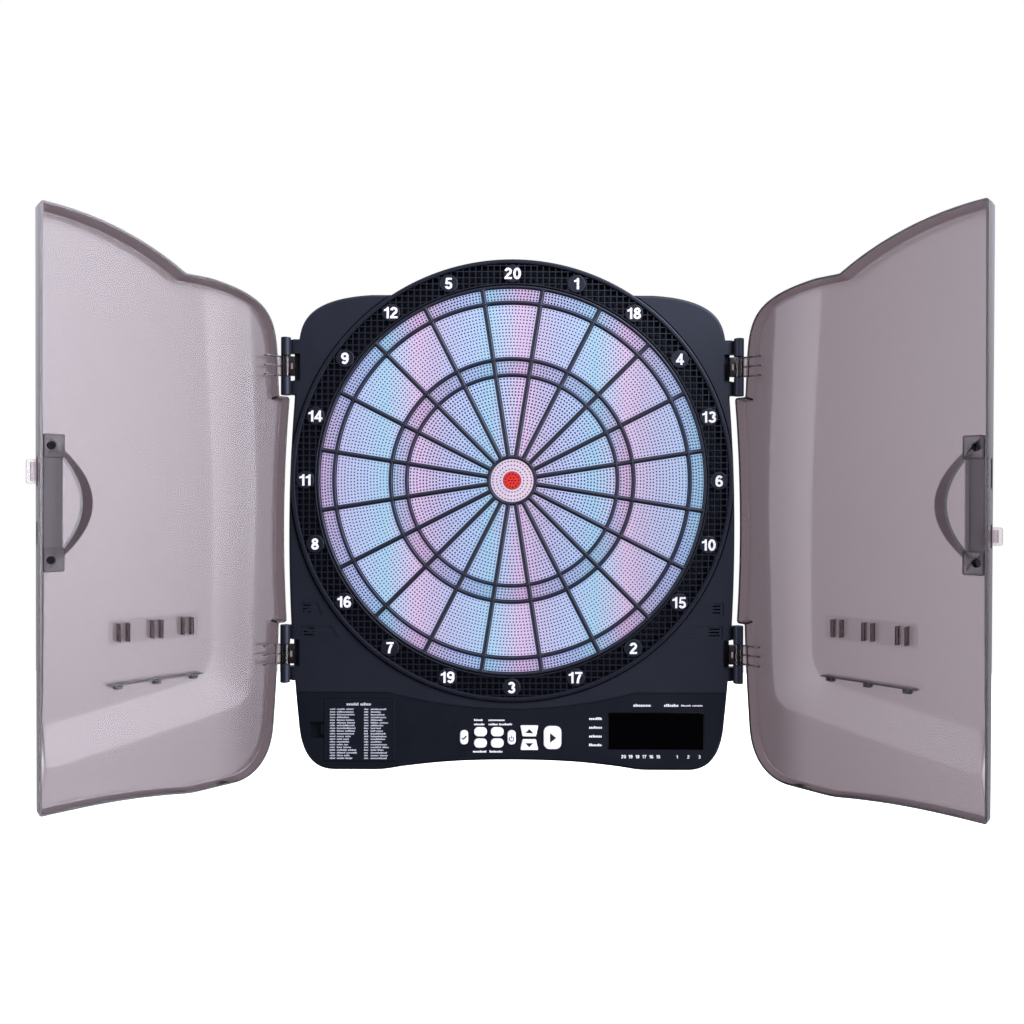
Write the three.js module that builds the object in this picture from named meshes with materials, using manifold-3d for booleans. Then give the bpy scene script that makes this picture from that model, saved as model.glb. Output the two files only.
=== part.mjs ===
import * as THREE from "three";
import { mergeVertices } from "three/addons/utils/BufferGeometryUtils.js";
import Module from "manifold-3d";

// An electronic dartboard with two doors, in millimetres: X to the right, Y back to the wall, Z up.
// The origin is on the bull's axis, at the wall. A depth is a distance in front of the wall.

const gap = 0.3;
const wall = 2.5;

// Casing depths and outline
const rearDepth = 24;
const shoulderDepth = 46.5;
const ringDepth = 50;
const casing = {
  bottomMiddle: -287.9, bottomLow: -298.2, cornerX: 182, sideLow: 219.4, sideBow: 237, sideHigh: 224.5,
  shoulder: 191.2, archRadius: 226.5,
};
const seam = { sideZ: -218.4, middleZ: -235.1, curveHalfWidth: 127 };

// Target: radii of the spider's rings, from the bull outwards, and of the segments between them
const sectorCount = 20;
const sectorAngle = (2 * Math.PI) / sectorCount;
const arcSteps = 2;
const roundSides = 48;
const dividerWidth = 4.1;
const spiderRings = [[22.6, 25.6], [106.6, 109.7], [123, 126.4], [180.7, 184.2], [197.1, 200.4]];
const bullRadius = 9;
const play = 0.5;
const spiderDepth = { front: 49.6, back: 43.6 };
const segmentDepth = { front: 48.3, back: 43 };
const webDepth = { front: 43.2, back: 41.2 };

// Number ring
const ring = { inner: 201, outer: 227, innerWall: 1.6, rimWidth: 4.6, floorDepth: 39.9, floor: 2 };
const numberDisc = { radius: 9.4, at: 212.2, depth: 49.6 };

// Doors, in the closed door's own frame: "across" from the hinge axis, "out" from the rim's plane
const hinge = { x: 232, depth: 50, knuckleRadius: 5, pinRadius: 1.5, boreRadius: 1.8 };
const hingeZ = [116.4, -177.7];
const doorKnuckle = 20.6;
const bodyKnuckle = 18.9;
const openAngle = { left: 136, right: 132 };
const door = {
  bottomMiddle: -287.2, bottomLow: -298, cornerX: 176, sideLow: 219.5, sideHigh: 225, shoulder: 191.9,
  archRadius: 229.8,
};
// Between its hinges the door's side stands out as a wing, as far as the knuckles do.
const wing = { low: -146, high: 85.5, lowX: 234.2, middleX: 226.3, highX: 237.1 };
const doorWall = 2;
const doorRim = 0.6;
const baseOut = 14;
const raisedOut = 21;
const freeEdge = 231.6;

const wasm = await Module();
wasm.setup();
const { Manifold, Mesh } = wasm;

// ---- shape helpers ----

function solidOf(geometry) {
  const bare = geometry.index ? geometry.toNonIndexed() : geometry.clone();
  bare.deleteAttribute("normal");
  bare.deleteAttribute("uv");
  const merged = mergeVertices(bare, 1e-4);
  const vertProperties = new Float32Array(merged.attributes.position.array);
  const triVerts = new Uint32Array(merged.index.array);
  return new Manifold(new Mesh({ numProp: 3, vertProperties, triVerts }));
}

function geometryOf(solid) {
  const mesh = solid.getMesh();
  const geometry = new THREE.BufferGeometry();
  geometry.setAttribute("position", new THREE.BufferAttribute(new Float32Array(mesh.vertProperties), 3));
  geometry.setIndex(new THREE.BufferAttribute(new Uint32Array(mesh.triVerts), 1));
  const flat = geometry.toNonIndexed();
  flat.computeVertexNormals();
  return flat;
}

const join = (solids) => solids.reduce((all, next) => all.add(next));
const cut = (solid, tools) => tools.reduce((rest, tool) => rest.subtract(tool), solid);

// A plate with an outline of [x, z] points, between two depths.
function plate(points, back, front) {
  const shape = new THREE.Shape(points.map(([x, z]) => new THREE.Vector2(x, z)));
  const geometry = new THREE.ExtrudeGeometry(shape, { depth: front - back, bevelEnabled: false });
  geometry.rotateX(Math.PI / 2);
  geometry.translate(0, -back, 0);
  return solidOf(geometry);
}

function circle(radius, sides, x = 0, z = 0, turn = 0) {
  const points = [];
  for (let i = 0; i < sides; i += 1) {
    const angle = turn + (2 * Math.PI * i) / sides;
    points.push([x + radius * Math.cos(angle), z + radius * Math.sin(angle)]);
  }
  return points;
}

const disc = (radius, sides, back, front, x = 0, z = 0) => plate(circle(radius, sides, x, z), back, front);

function annulus(inner, outer, sides, back, front, turn = 0) {
  const body = plate(circle(outer, sides, 0, 0, turn), back, front);
  return body.subtract(plate(circle(inner, sides, 0, 0, turn), back - 1, front + 1));
}

const rectangle = (x0, x1, z0, z1) => [[x0, z0], [x1, z0], [x1, z1], [x0, z1]];
const block = (x0, x1, z0, z1, back, front) => plate(rectangle(x0, x1, z0, z1), back, front);

// A rectangle with round corners.
function pad(x, z, width, height, radius, steps = 3) {
  const points = [];
  const corners = [[1, 1], [-1, 1], [-1, -1], [1, -1]];
  corners.forEach(([sx, sz], corner) => {
    for (let i = 0; i <= steps; i += 1) {
      const angle = ((corner + i / steps) * Math.PI) / 2;
      const cx = x + sx * (width / 2 - radius);
      const cz = z + sz * (height / 2 - radius);
      points.push([cx + radius * Math.cos(angle), cz + radius * Math.sin(angle)]);
    }
  });
  return points;
}

function isClockwise(points) {
  let area = 0;
  points.forEach(([x, z], i) => {
    const [nextX, nextZ] = points[(i + 1) % points.length];
    area += x * nextZ - nextX * z;
  });
  return area < 0;
}

// Moves every side of a closed outline inwards by the same distance.
function inset(points, distance) {
  const turn = isClockwise(points) ? -1 : 1;
  return points.map(([x, z], i) => {
    const [px, pz] = points[(i + points.length - 1) % points.length];
    const [nx, nz] = points[(i + 1) % points.length];
    const before = new THREE.Vector2(x - px, z - pz).normalize();
    const after = new THREE.Vector2(nx - x, nz - z).normalize();
    const inward = new THREE.Vector2(-before.y - after.y, before.x + after.x).multiplyScalar(turn / 2);
    const reach = distance / Math.max(inward.lengthSq(), 0.2);
    return [x + inward.x * reach, z + inward.y * reach];
  });
}

// A closed solid through outlines of equal point count; each section is { points, y }, from front to back.
function loft(sections) {
  const flipped = isClockwise(sections[0].points);
  const rows = sections.map(({ points, y }) => ({ points: flipped ? [...points].reverse() : points, y }));
  const count = rows[0].points.length;
  const contour = rows[0].points.map(([x, z]) => new THREE.Vector2(x, z));
  const caps = THREE.ShapeUtils.triangulateShape(contour, []);
  const positions = [];
  rows.forEach(({ points, y }) => points.forEach(([x, z]) => positions.push(x, y, z)));
  const index = [];
  const last = (rows.length - 1) * count;
  caps.forEach(([a, b, c]) => index.push(a, b, c, last + a, last + c, last + b));
  for (let s = 0; s + 1 < rows.length; s += 1) {
    for (let i = 0; i < count; i += 1) {
      const a = s * count + i;
      const b = s * count + ((i + 1) % count);
      index.push(a, a + count, b, b, a + count, b + count);
    }
  }
  const geometry = new THREE.BufferGeometry();
  geometry.setAttribute("position", new THREE.Float32BufferAttribute(positions, 3));
  geometry.setIndex(index);
  return solidOf(geometry);
}

// An upright cylinder, its axis along Z.
function upright(radius, sides, x, y, z0, z1) {
  const geometry = new THREE.CylinderGeometry(radius, radius, z1 - z0, sides);
  geometry.rotateX(Math.PI / 2);
  geometry.translate(x, y, (z0 + z1) / 2);
  return solidOf(geometry);
}

// The right half of an outline, from the bottom up. addSide draws its stretch from corner to shoulder.
function halfOutline(size, addSide) {
  const path = new THREE.Path();
  path.moveTo(0, size.bottomMiddle);
  path.bezierCurveTo(60, size.bottomMiddle, 85, size.bottomMiddle - 3.6, 112, size.bottomLow + 3.4);
  path.lineTo(135, size.bottomLow);
  path.lineTo(size.cornerX, size.bottomLow);
  path.bezierCurveTo(size.cornerX + 21, size.bottomLow, size.sideLow - 2.4, -284, size.sideLow, -248);
  addSide(path, size);
  path.absarc(0, 0, size.archRadius, Math.asin(size.shoulder / size.archRadius), Math.PI / 2, false);
  return path.getPoints(6).map((point) => [point.x, point.y]);
}

function addCasingSide(path, size) {
  path.quadraticCurveTo(size.sideBow, -80, size.sideHigh, 82);
  path.quadraticCurveTo(size.sideHigh - 1.3, 115, size.sideHigh - 4.9, 146);
  path.bezierCurveTo(216.8, 161.6, 212.2, size.shoulder - 3.7, 144.6, size.shoulder);
}

function addDoorSide(path, size) {
  path.quadraticCurveTo(size.sideHigh - 1, -190, size.sideHigh, wing.low);
  path.lineTo(wing.lowX, wing.low);
  path.quadraticCurveTo(wing.middleX, (wing.low + wing.high) / 2, wing.highX, wing.high);
  path.lineTo(size.sideHigh, wing.high);
  path.bezierCurveTo(220.5, 153, 231.2, size.shoulder - 8.8, 150, size.shoulder);
}

function fullOutline(size, addSide) {
  const right = halfOutline(size, addSide);
  const left = right.slice(1, -1).map(([x, z]) => [-x, z]).reverse();
  return [...right, ...left];
}

// ---- finishes ----

const finish = (color, roughness, extra = {}) =>
  new THREE.MeshStandardMaterial({ color, roughness, ...extra });
const blackPlastic = finish(0x26282f, 0.6);
const ringPlastic = finish(0x2c2e36, 0.5);
const whiteRubber = finish(0xe6e8ee, 0.55);
const smoked = { transparent: true, opacity: 0.45 };
const doorPlastic = finish(0xb9abb2, 0.15, smoked);
const cupPlastic = finish(0x8d8f98, 0.4, smoked);
const segmentPlastic = finish(0xc6c8e6, 0.45);
const boardGreen = finish(0x1f5a38, 0.5);

const dartboard = new THREE.Group();

function addTo(group, name, solid, material) {
  const mesh = new THREE.Mesh(geometryOf(solid), material.clone());
  mesh.name = name;
  group.add(mesh);
}

const add = (name, solid, material) => addTo(dartboard, name, solid, material);

// ---- casing ----

const seamCurve = () => {
  const path = new THREE.Path();
  path.moveTo(-seam.curveHalfWidth, seam.sideZ);
  path.quadraticCurveTo(0, 2 * seam.middleZ - seam.sideZ, seam.curveHalfWidth, seam.sideZ);
  return path.getPoints(10).map((point) => [point.x, point.y]);
};

// Everything below the seam, moved down by a distance.
function belowSeam(shift) {
  const top = [[-260, seam.sideZ], ...seamCurve(), [260, seam.sideZ]].map(([x, z]) => [x, z - shift]);
  return plate([...top, [260, -330], [-260, -330]], 10, 60);
}

const casingOutline = fullOutline(casing, addCasingSide);
const ventSlots = { upper: [-206, -132.2, 14, 13.3, 24], lower: [-197, -155.9, 16, 12.6, 40] };

function casingShell() {
  const outer = plate(casingOutline, rearDepth + gap, shoulderDepth);
  const inner = plate(inset(casingOutline, wall), rearDepth - 1, shoulderDepth - wall);
  return outer.subtract(inner);
}

// The fixed part of a hinge: an ear on the casing with a pocket in its middle, and two knuckles on arms.
const ear = { inX: 217, outX: 226, trim: 1, back: 36, pocketX: 218.2, pocketHalf: 13.9, pocketFloor: 41 };

const sideBlock = (side, x0, x1, z0, z1, back, front) => {
  const [low, high] = [side * x0, side * x1].sort((a, b) => a - b);
  return block(low, high, z0, z1, back, front);
};

function bodyKnuckles(side, middleZ) {
  const half = doorKnuckle / 2 + gap + bodyKnuckle - ear.trim;
  const [earLow, earHigh] = [middleZ - half, middleZ + half];
  const earSolid = sideBlock(side, ear.inX, ear.outX, earLow, earHigh, ear.back, shoulderDepth);
  const backing = sideBlock(side, ear.inX, 225, earLow, earHigh, ear.back, ear.pocketFloor);
  const z = [middleZ - ear.pocketHalf, middleZ + ear.pocketHalf];
  const earPocket = sideBlock(side, ear.pocketX, ear.outX + 1, z[0], z[1], 30, 60);
  const solids = [];
  [-1, 1].forEach((end) => {
    const near = middleZ + end * (doorKnuckle / 2 + gap);
    const far = near + end * bodyKnuckle;
    const [z0, z1] = [Math.min(near, far), Math.max(near, far)];
    solids.push(upright(hinge.knuckleRadius, 10, side * hinge.x, -hinge.depth, z0, z1));
    const armZ = [z0 + (end > 0 ? 3.5 : 1), z1 - (end > 0 ? 1 : 3.5)];
    solids.push(sideBlock(side, ear.inX + 3, hinge.x, armZ[0], armZ[1], 38, 46));
  });
  const pinHole = upright(hinge.boreRadius, 8, side * hinge.x, -hinge.depth, middleZ - 40, middleZ + 40);
  return { ear: earSolid, earPocket, backing, solids, pinHole };
}

function vent(side, [x, z, slotWidth, height, width]) {
  const outer = side * x * -1;
  const recess = rectangle(outer - width / 2, outer + width / 2, z - height / 2, z + height / 2);
  const tools = [plate(recess, shoulderDepth - 1, shoulderDepth + 1)];
  const slotX = outer + (side * (width - slotWidth - 6)) / 2;
  for (let row = -1; row <= 1; row += 1) {
    const slotZ = z + row * 3.6;
    tools.push(block(slotX - slotWidth / 2, slotX + slotWidth / 2, slotZ - 0.8, slotZ + 0.8, 40, 48));
  }
  return tools;
}

function frontFrame() {
  const outlineSolid = plate(casingOutline, 10, 60);
  const sides = roundSides;
  const socket = disc(ring.outer + gap, sides, ring.floorDepth - gap, 60);
  const ledgeBack = ring.floorDepth - gap - wall;
  const ledge = disc(ring.outer + gap + wall, sides, ledgeBack, ring.floorDepth - gap);
  const collar = annulus(ring.outer + gap, ring.outer + gap + wall, sides, ledgeBack, shoulderDepth);
  const bucket = disc(204, sides, 32.6, ring.floorDepth - gap);
  let frame = casingShell().subtract(socket);
  frame = frame.add(join([ledge, collar, bucket]).intersect(outlineSolid));
  frame = cut(frame, [disc(ring.inner - 0.2, sides, 34.6, 60), disc(188, sides, 20, 60)]);
  frame = cut(frame, [belowSeam(-gap / 2)]);
  [-1, 1].forEach((side) => {
    hingeZ.forEach((middleZ) => {
      const fixed = bodyKnuckles(side, middleZ);
      frame = frame.add(fixed.ear).subtract(fixed.earPocket).add(fixed.backing);
      frame = join([frame, ...fixed.solids]).subtract(fixed.pinHole);
    });
    Object.values(ventSlots).forEach((slot) => {
      frame = cut(frame, vent(side, slot));
    });
  });
  return frame;
}

const keyholes = { x: 95, z: 120, headRadius: 5.2, slotRadius: 2.7, slotLength: 11 };
const jack = { x: 152, width: 12, depthBack: 6, depthFront: 18, tail: -283, mouth: -297.3, boreRadius: 3.2 };

function rearCover() {
  const outline = inset(casingOutline, 1);
  const outer = plate(outline, 0, rearDepth);
  const inner = plate(inset(outline, wall), wall, rearDepth + 1);
  let cover = outer.subtract(inner);
  const posts = [[190, 150], [190, -10], [200, -190], [110, -270]];
  posts.forEach(([x, z]) => {
    [-1, 1].forEach((side) => {
      cover = cover.add(disc(4.5, 8, wall - 0.5, rearDepth - 0.4, side * x, z));
      cover = cover.subtract(disc(1.8, 6, -1, 6, side * x, z));
    });
  });
  [-1, 1].forEach((side) => {
    const head = disc(keyholes.headRadius, 12, -1, wall + 1, side * keyholes.x, keyholes.z);
    const slotTop = keyholes.z + keyholes.slotLength;
    const slot = block(
      side * keyholes.x - keyholes.slotRadius, side * keyholes.x + keyholes.slotRadius,
      keyholes.z, slotTop, -1, wall + 1);
    const end = disc(keyholes.slotRadius, 12, -1, wall + 1, side * keyholes.x, slotTop);
    cover = cut(cover, [join([head, slot, end])]);
  });
  for (let row = 0; row < 6; row += 1) {
    const z = -60 - row * 8;
    cover = cover.subtract(block(-40, 40, z - 1.5, z + 1.5, -1, wall + 1));
  }
  const half = jack.width / 2 + gap;
  const jackHole = block(
    jack.x - half, jack.x + half, -310, jack.tail + 6, jack.depthBack - gap, jack.depthFront + gap);
  return cover.subtract(jackHole);
}

function powerJack() {
  const half = jack.width / 2;
  const body = block(jack.x - half, jack.x + half, jack.mouth, jack.tail, jack.depthBack, jack.depthFront);
  const middle = -(jack.depthBack + jack.depthFront) / 2;
  return body.subtract(upright(jack.boreRadius, 12, jack.x, middle, jack.mouth - 1, jack.mouth + 10));
}

function catchRing() {
  const sides = roundSides;
  const { inner, outer, innerWall, rimWidth, floorDepth, floor } = ring;
  let body = annulus(inner, outer, sides, floorDepth, ringDepth);
  const hollow = annulus(inner + innerWall, outer - rimWidth, sides, floorDepth + floor, ringDepth + 1);
  body = body.subtract(hollow);
  for (let k = 0; k < sectorCount; k += 1) {
    const angle = Math.PI / 2 - k * sectorAngle;
    const x = numberDisc.at * Math.cos(angle);
    const z = numberDisc.at * Math.sin(angle);
    body = body.add(disc(numberDisc.radius, 10, floorDepth + floor - 0.5, numberDisc.depth, x, z));
  }
  return body;
}

add("front_frame", frontFrame(), blackPlastic);
add("rear_cover", rearCover(), blackPlastic);
add("catch_ring", catchRing(), ringPlastic);
add("power_jack", powerJack(), blackPlastic);

// ---- target ----

function spider() {
  const sides = sectorCount * arcSteps;
  const turn = Math.PI / 2 - sectorAngle / 2;
  const { front, back } = spiderDepth;
  const rings = spiderRings.map(([inner, outer]) => annulus(inner, outer, sides, back, front, turn));
  const [bullRing] = spiderRings;
  const outerRing = spiderRings[spiderRings.length - 1];
  const half = dividerWidth / 2;
  const start = (bullRing[0] + bullRing[1]) / 2;
  const end = (outerRing[0] + outerRing[1]) / 2;
  const bars = [];
  for (let k = 0; k < sectorCount; k += 1) {
    const angle = turn + k * sectorAngle;
    const along = [Math.cos(angle), Math.sin(angle)];
    const corner = (r, t) => [r * along[0] - t * along[1], r * along[1] + t * along[0]];
    const points = [corner(start, -half), corner(end, -half), corner(end, half), corner(start, half)];
    bars.push(plate(points, back, front));
  }
  return Manifold.union([...rings, ...bars]);
}

// One ring segment of the sector at an angle, clear of the dividers and rings round it.
function segment(inner, outer, middle, back, front) {
  const clear = dividerWidth / 2 + play * 0.7;
  const points = [];
  [[outer, 1], [inner, -1]].forEach(([radius, way]) => {
    const half = sectorAngle / 2 - Math.asin(clear / radius);
    for (let i = 0; i <= arcSteps; i += 1) {
      const angle = middle + way * half * ((2 * i) / arcSteps - 1);
      points.push([radius * Math.cos(angle), radius * Math.sin(angle)]);
    }
  });
  return plate(points, back, front);
}

// The four segments of one number, on the web that carries them behind the spider.
function sector(middle) {
  const solids = [];
  for (let i = 0; i + 1 < spiderRings.length; i += 1) {
    const inner = spiderRings[i][1] + play;
    const outer = spiderRings[i + 1][0] - play;
    solids.push(segment(inner, outer, middle, segmentDepth.back, segmentDepth.front));
  }
  const along = [Math.cos(middle), Math.sin(middle)];
  const corner = (r, t) => [r * along[0] - t * along[1], r * along[1] + t * along[0]];
  const web = [corner(28, -1.6), corner(194, -9), corner(194, 9), corner(28, 1.6)];
  solids.push(plate(web, webDepth.back, webDepth.front));
  return Manifold.union(solids);
}

add("spider", spider(), ringPlastic);
const numbers = [20, 1, 18, 4, 13, 6, 10, 15, 2, 17, 3, 19, 7, 16, 8, 11, 14, 9, 12, 5];
numbers.forEach((number, k) => {
  const middle = Math.PI / 2 - k * sectorAngle;
  add(`sector_${String(number).padStart(2, "0")}`, sector(middle), segmentPlastic);
});
const outerBull = annulus(bullRadius + play, spiderRings[0][0] - play, 40, webDepth.back, segmentDepth.front);
add("outer_bull", outerBull, segmentPlastic);
add("inner_bull", disc(bullRadius, 24, webDepth.back, segmentDepth.front), finish(0xe0452c, 0.45));
add("sensor_membrane", disc(199, 48, 39.5, 40.1), finish(0xd8d8d0, 0.7));
add("light_diffuser", disc(198, 48, 37.2, 39.2), finish(0xf2f2f2, 0.6));
add("led_board", disc(197, 48, 35.2, 36.9), boardGreen);

// ---- control panel ----

const flap = { x0: -192.8, x1: -119.6, z0: -288.9, z1: -224.8, thick: 2 };
const fingerRecess = { x0: -207.1, x1: -193.2, z0: -265.1, z1: -248.5 };
const window = { x: 148.8, z: -257.1, width: 98.6, height: 37.7 };
const pill = { width: 13.1, height: 9.3, radius: 4.5 };
const buttons = [
  { name: "enter_button", x: -48.6, z: -263.9, width: 8.3, height: 14.4, radius: 3.6 },
  { name: "pill_button_1", x: -31.8, z: -258.2, ...pill },
  { name: "pill_button_2", x: -14.6, z: -258.2, ...pill },
  { name: "pill_button_3", x: -31.8, z: -269.8, ...pill },
  { name: "pill_button_4", x: -14.6, z: -269.8, ...pill },
  { name: "power_button", x: 0.2, z: -263.9, width: 8.3, height: 14.4, radius: 3.6 },
  { name: "up_button", x: 18.3, z: -257.2, width: 18.6, height: 11.2, taper: -2.4 },
  { name: "down_button", x: 18.3, z: -271.3, width: 18.6, height: 11, taper: 2.4 },
  { name: "play_button", x: 42.2, z: -264, width: 18.1, height: 23.6, radius: 6 },
];
const buttonDepth = { back: 41.8, flange: 43.6, front: 48.6 };

// A button's outline, grown by a distance: a round-cornered pad, or a wedge. A wedge with a taper above 0 is
// narrower at its top by that much on each side, and one below 0 at its bottom.
function buttonOutline(button, grow) {
  if (!button.taper) {
    const { width, height, radius } = button;
    return pad(button.x, button.z, width + 2 * grow, height + 2 * grow, radius + grow);
  }
  const low = button.width / 2 - Math.max(-button.taper, 0) + grow;
  const high = button.width / 2 - Math.max(button.taper, 0) + grow;
  const half = button.height / 2 + grow;
  return [
    [button.x - low, button.z - half], [button.x + low, button.z - half],
    [button.x + high, button.z + half], [button.x - high, button.z + half],
  ];
}

function buttonSolid(button) {
  const cap = plate(buttonOutline(button, 0), buttonDepth.back, buttonDepth.front);
  return cap.add(plate(buttonOutline(button, 0.9), buttonDepth.back, buttonDepth.flange));
}

function controlPanel() {
  let panel = casingShell().intersect(belowSeam(gap / 2));
  const pan = { back: 38, floor: 36.4 };
  const panBlock = block(flap.x0 - 2, flap.x1 + 2.5, flap.z0 - 2, flap.z1 + 2, pan.floor, shoulderDepth - 1);
  const recessBlock = block(
    fingerRecess.x0 - 2, flap.x0, fingerRecess.z0 - 2, fingerRecess.z1 + 2, 38.5, shoulderDepth - 1);
  panel = join([panel, panBlock, recessBlock]);
  const tools = [
    block(flap.x0 - gap, flap.x1 + gap, flap.z0 - gap, flap.z1 + gap, pan.back, 50),
    block(fingerRecess.x0, flap.x0, fingerRecess.z0, fingerRecess.z1, 40.5, 50),
    plate(pad(window.x, window.z, window.width + 2 * gap, window.height + 2 * gap, 2), 40, 50),
  ];
  buttons.forEach((button) => tools.push(plate(buttonOutline(button, 0.35), 40, 50)));
  return cut(panel, tools);
}

function gameListFlap() {
  const body = block(flap.x0, flap.x1, flap.z0, flap.z1, shoulderDepth - flap.thick, shoulderDepth);
  const middle = (fingerRecess.z0 + fingerRecess.z1) / 2;
  const front = shoulderDepth - 1.2;
  const tongue = block(flap.x0 - 3, flap.x0 + 1, middle - 5, middle + 5, front - flap.thick, front);
  return body.add(tongue);
}

function displayBoard() {
  const { x, z, width, height } = window;
  const [halfWidth, halfHeight] = [width / 2, height / 2];
  const [right, top] = [width / 2, height / 2];
  const digits = block(x - right + 4, x + right - 4, z - top + 4, z + top - 4, 37, 44.2);
  return digits.add(block(x - right - 3, x + right + 3, z - top, z + top, 35.6, 37.2));
}

function mainBoard() {
  const sheet = block(-62, 62, -282, -243, 36.3, 37.9);
  const chips = [[-30, -262, 14, 14], [6, -256, 9, 9], [36, -266, 18, 8]].map(([x, z, width, height]) =>
    block(x - width / 2, x + width / 2, z - height / 2, z + height / 2, 34, 36.5));
  return join([sheet, ...chips]);
}

function speaker() {
  const [x, z] = [-200.5, -144];
  const cone = disc(16, 20, 38, 43.6, x, z).subtract(disc(13, 20, 41, 45, x, z));
  return join([cone, disc(10, 16, 31, 38.2, x, z)]);
}

add("control_panel", controlPanel(), blackPlastic);
const pane = pad(window.x, window.z, window.width, window.height, 1.8);
add("display_window", plate(pane, 44.5, shoulderDepth + 0.1), finish(0x050507, 0.08));
add("display_board", displayBoard(), boardGreen);
add("main_board", mainBoard(), boardGreen);
add("button_mat", block(-58, 56, -281, -246, 38.2, 40.3), finish(0x9a9aa0, 0.8));
add("speaker", speaker(), finish(0x33343a, 0.6));
add("game_list_flap", gameListFlap(), blackPlastic);
buttons.forEach((button) => add(button.name, buttonSolid(button), whiteRubber));

// ---- hinge pins ----

const pinLength = doorKnuckle + 2 * bodyKnuckle - 1;
[["left", -1], ["right", 1]].forEach(([name, side]) => {
  [["upper", hingeZ[0]], ["lower", hingeZ[1]]].forEach(([place, z]) => {
    const [low, high] = [z - pinLength / 2, z + pinLength / 2];
    const pin = upright(hinge.pinRadius, 8, side * hinge.x, -hinge.depth, low, high);
    add(`${name}_${place}_hinge_pin`, pin, finish(0x8c8f96, 0.3, { metalness: 0.9 }));
  });
});

// ---- doors ----
// Each door is drawn closed in a group at its hinge axis, then the group is turned open.

const pocket = { flat: 216, bow: 184.5, innerBow: 198, z: -24, half: 50 };
const cup = { u0: 212, u1: 228.4, z0: -82.5, z1: 34.5, floor: 2, thick: 2 };
const tabs = { left: { z0: -8, z1: 13 }, right: { z0: -57.5, z1: -42 } };
const tab = { u0: 222, u1: 239.6, out: 8.5, thick: 3 };
const clips = {
  u0: 84, u1: 169, z0: -153, z1: -130, at: [157.5, 127, 97.5], gap: 6.3, prong: 2.6, height: 9,
};
const rest = { u0: 82, u1: 171, z: -188.5, thick: 1.6, height: 9, posts: [91, 126.5, 162] };

// The step in the panel: where its slope starts on the shallow side, and where it ends on the deep side.
const slopeFoot = [[38, 260], [27, 0], [30, -128], [33, -208], [38, -221], [50, -228], [260, -258]];
const slopeTop = [[84, 260], [70, 0], [70, -168], [73, -180], [80, -190], [92, -195], [260, -220]];

function doorOutline(side) {
  const half = halfOutline(door, addDoorSide).filter(([x]) => x > 0.01);
  const start = hinge.x - freeEdge;
  const all = [[start, door.bottomMiddle], ...half, [start, door.archRadius]];
  return all.map(([x, z]) => [side * (x - hinge.x), z]);
}

const across = (side, points) => points.map(([u, z]) => [-side * u, z]);
const doorBlock = (side, u0, u1, z0, z1, w0, w1) =>
  plate(across(side, rectangle(u0, u1, z0, z1)), w0, w1);

// The door's outer or inner body: its outline with drafted sides, under a roof with the sloped step.
function doorBody(side, outline, back, lower) {
  const sides = loft([
    { points: inset(outline, 2.6), y: -(raisedOut - lower) },
    { points: inset(outline, 1.3), y: -(raisedOut - lower - 2.5) },
    { points: outline, y: -back },
  ]);
  const closing = [[260, 260]];
  const foot = across(side, [...slopeFoot, ...closing]);
  const top = across(side, [...slopeTop, ...closing]);
  const step = loft([
    { points: top, y: -(raisedOut - lower) - 0.01 },
    { points: foot, y: -(baseOut - lower) },
  ]);
  const low = block(-300, 300, -330, 260, -5, baseOut - lower + 0.005);
  return sides.intersect(low.add(step));
}

function fingerPocket(side, bow, flat, out) {
  const points = [[flat, pocket.z - pocket.half]];
  const path = new THREE.Path();
  path.moveTo(flat, pocket.z - pocket.half);
  path.quadraticCurveTo(2 * bow - flat, pocket.z, flat, pocket.z + pocket.half);
  path.getPoints(6).slice(1).forEach((point) => points.push([point.x, point.y]));
  return { points: across(side, points), y: -out };
}

function doorShell(side) {
  const outline = doorOutline(side);
  let shell = doorBody(side, outline, doorRim, 0);
  shell = shell.subtract(doorBody(side, inset(outline, doorWall), -4, doorWall));
  const skirtOut = cup.floor + cup.thick + gap;
  const outerFoot = fingerPocket(side, pocket.bow, pocket.flat, raisedOut - 0.1);
  const outerTop = fingerPocket(side, pocket.innerBow, pocket.flat - 0.1, skirtOut);
  const skirt = loft([outerFoot, outerTop]);
  const hole = loft([
    { points: inset(outerFoot.points, doorWall), y: -raisedOut - 1 },
    { points: inset(outerTop.points, doorWall), y: 1 - skirtOut },
  ]);
  shell = shell.add(skirt).subtract(hole);
  Object.values(tabs).forEach(({ z0, z1 }) => {
    shell = shell.subtract(doorBlock(side, 224, 240, z0 - 2, z1 + 2, tab.out - 1, tab.out + tab.thick + 1));
  });
  hingeZ.forEach((z) => {
    const half = doorKnuckle / 2;
    const knuckle = upright(hinge.knuckleRadius, 10, 0, 0, z - half, z + half);
    const ribs = [z - half, z - 0.9, z + half - 1.8];
    const solids = ribs.map((low) => doorBlock(side, 3, 20, low, low + 1.8, doorRim, 4.5));
    const lug = sideBlock(-side, 0, 7, z - half + 0.6, z + half - 0.6, -3.5, 3.5);
    const turn = -side * openAngle[side < 0 ? "left" : "right"];
    shell = join([shell, knuckle, ...solids, lug.rotate([0, 0, turn])]);
    shell = shell.subtract(upright(hinge.boreRadius, 8, 0, 0, z - 30, z + 30));
  });
  return shell;
}

function fingerCup(side) {
  const face = fingerPocket(side, pocket.innerBow - 1, cup.u0 + 1, 0).points;
  const low = cup.floor;
  const high = cup.floor + cup.thick;
  const solids = [plate(face, low, high), doorBlock(side, cup.u0, cup.u1, cup.z0, cup.z1, low, high)];
  const bossAt = pocket.flat + 0.5;
  solids.push(doorBlock(side, bossAt, cup.u1, cup.z0, cup.z0 + 20.5, low, 7.6));
  solids.push(doorBlock(side, bossAt, cup.u1, cup.z1 - 20, cup.z1, low, 7.6));
  return join(solids);
}

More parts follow.
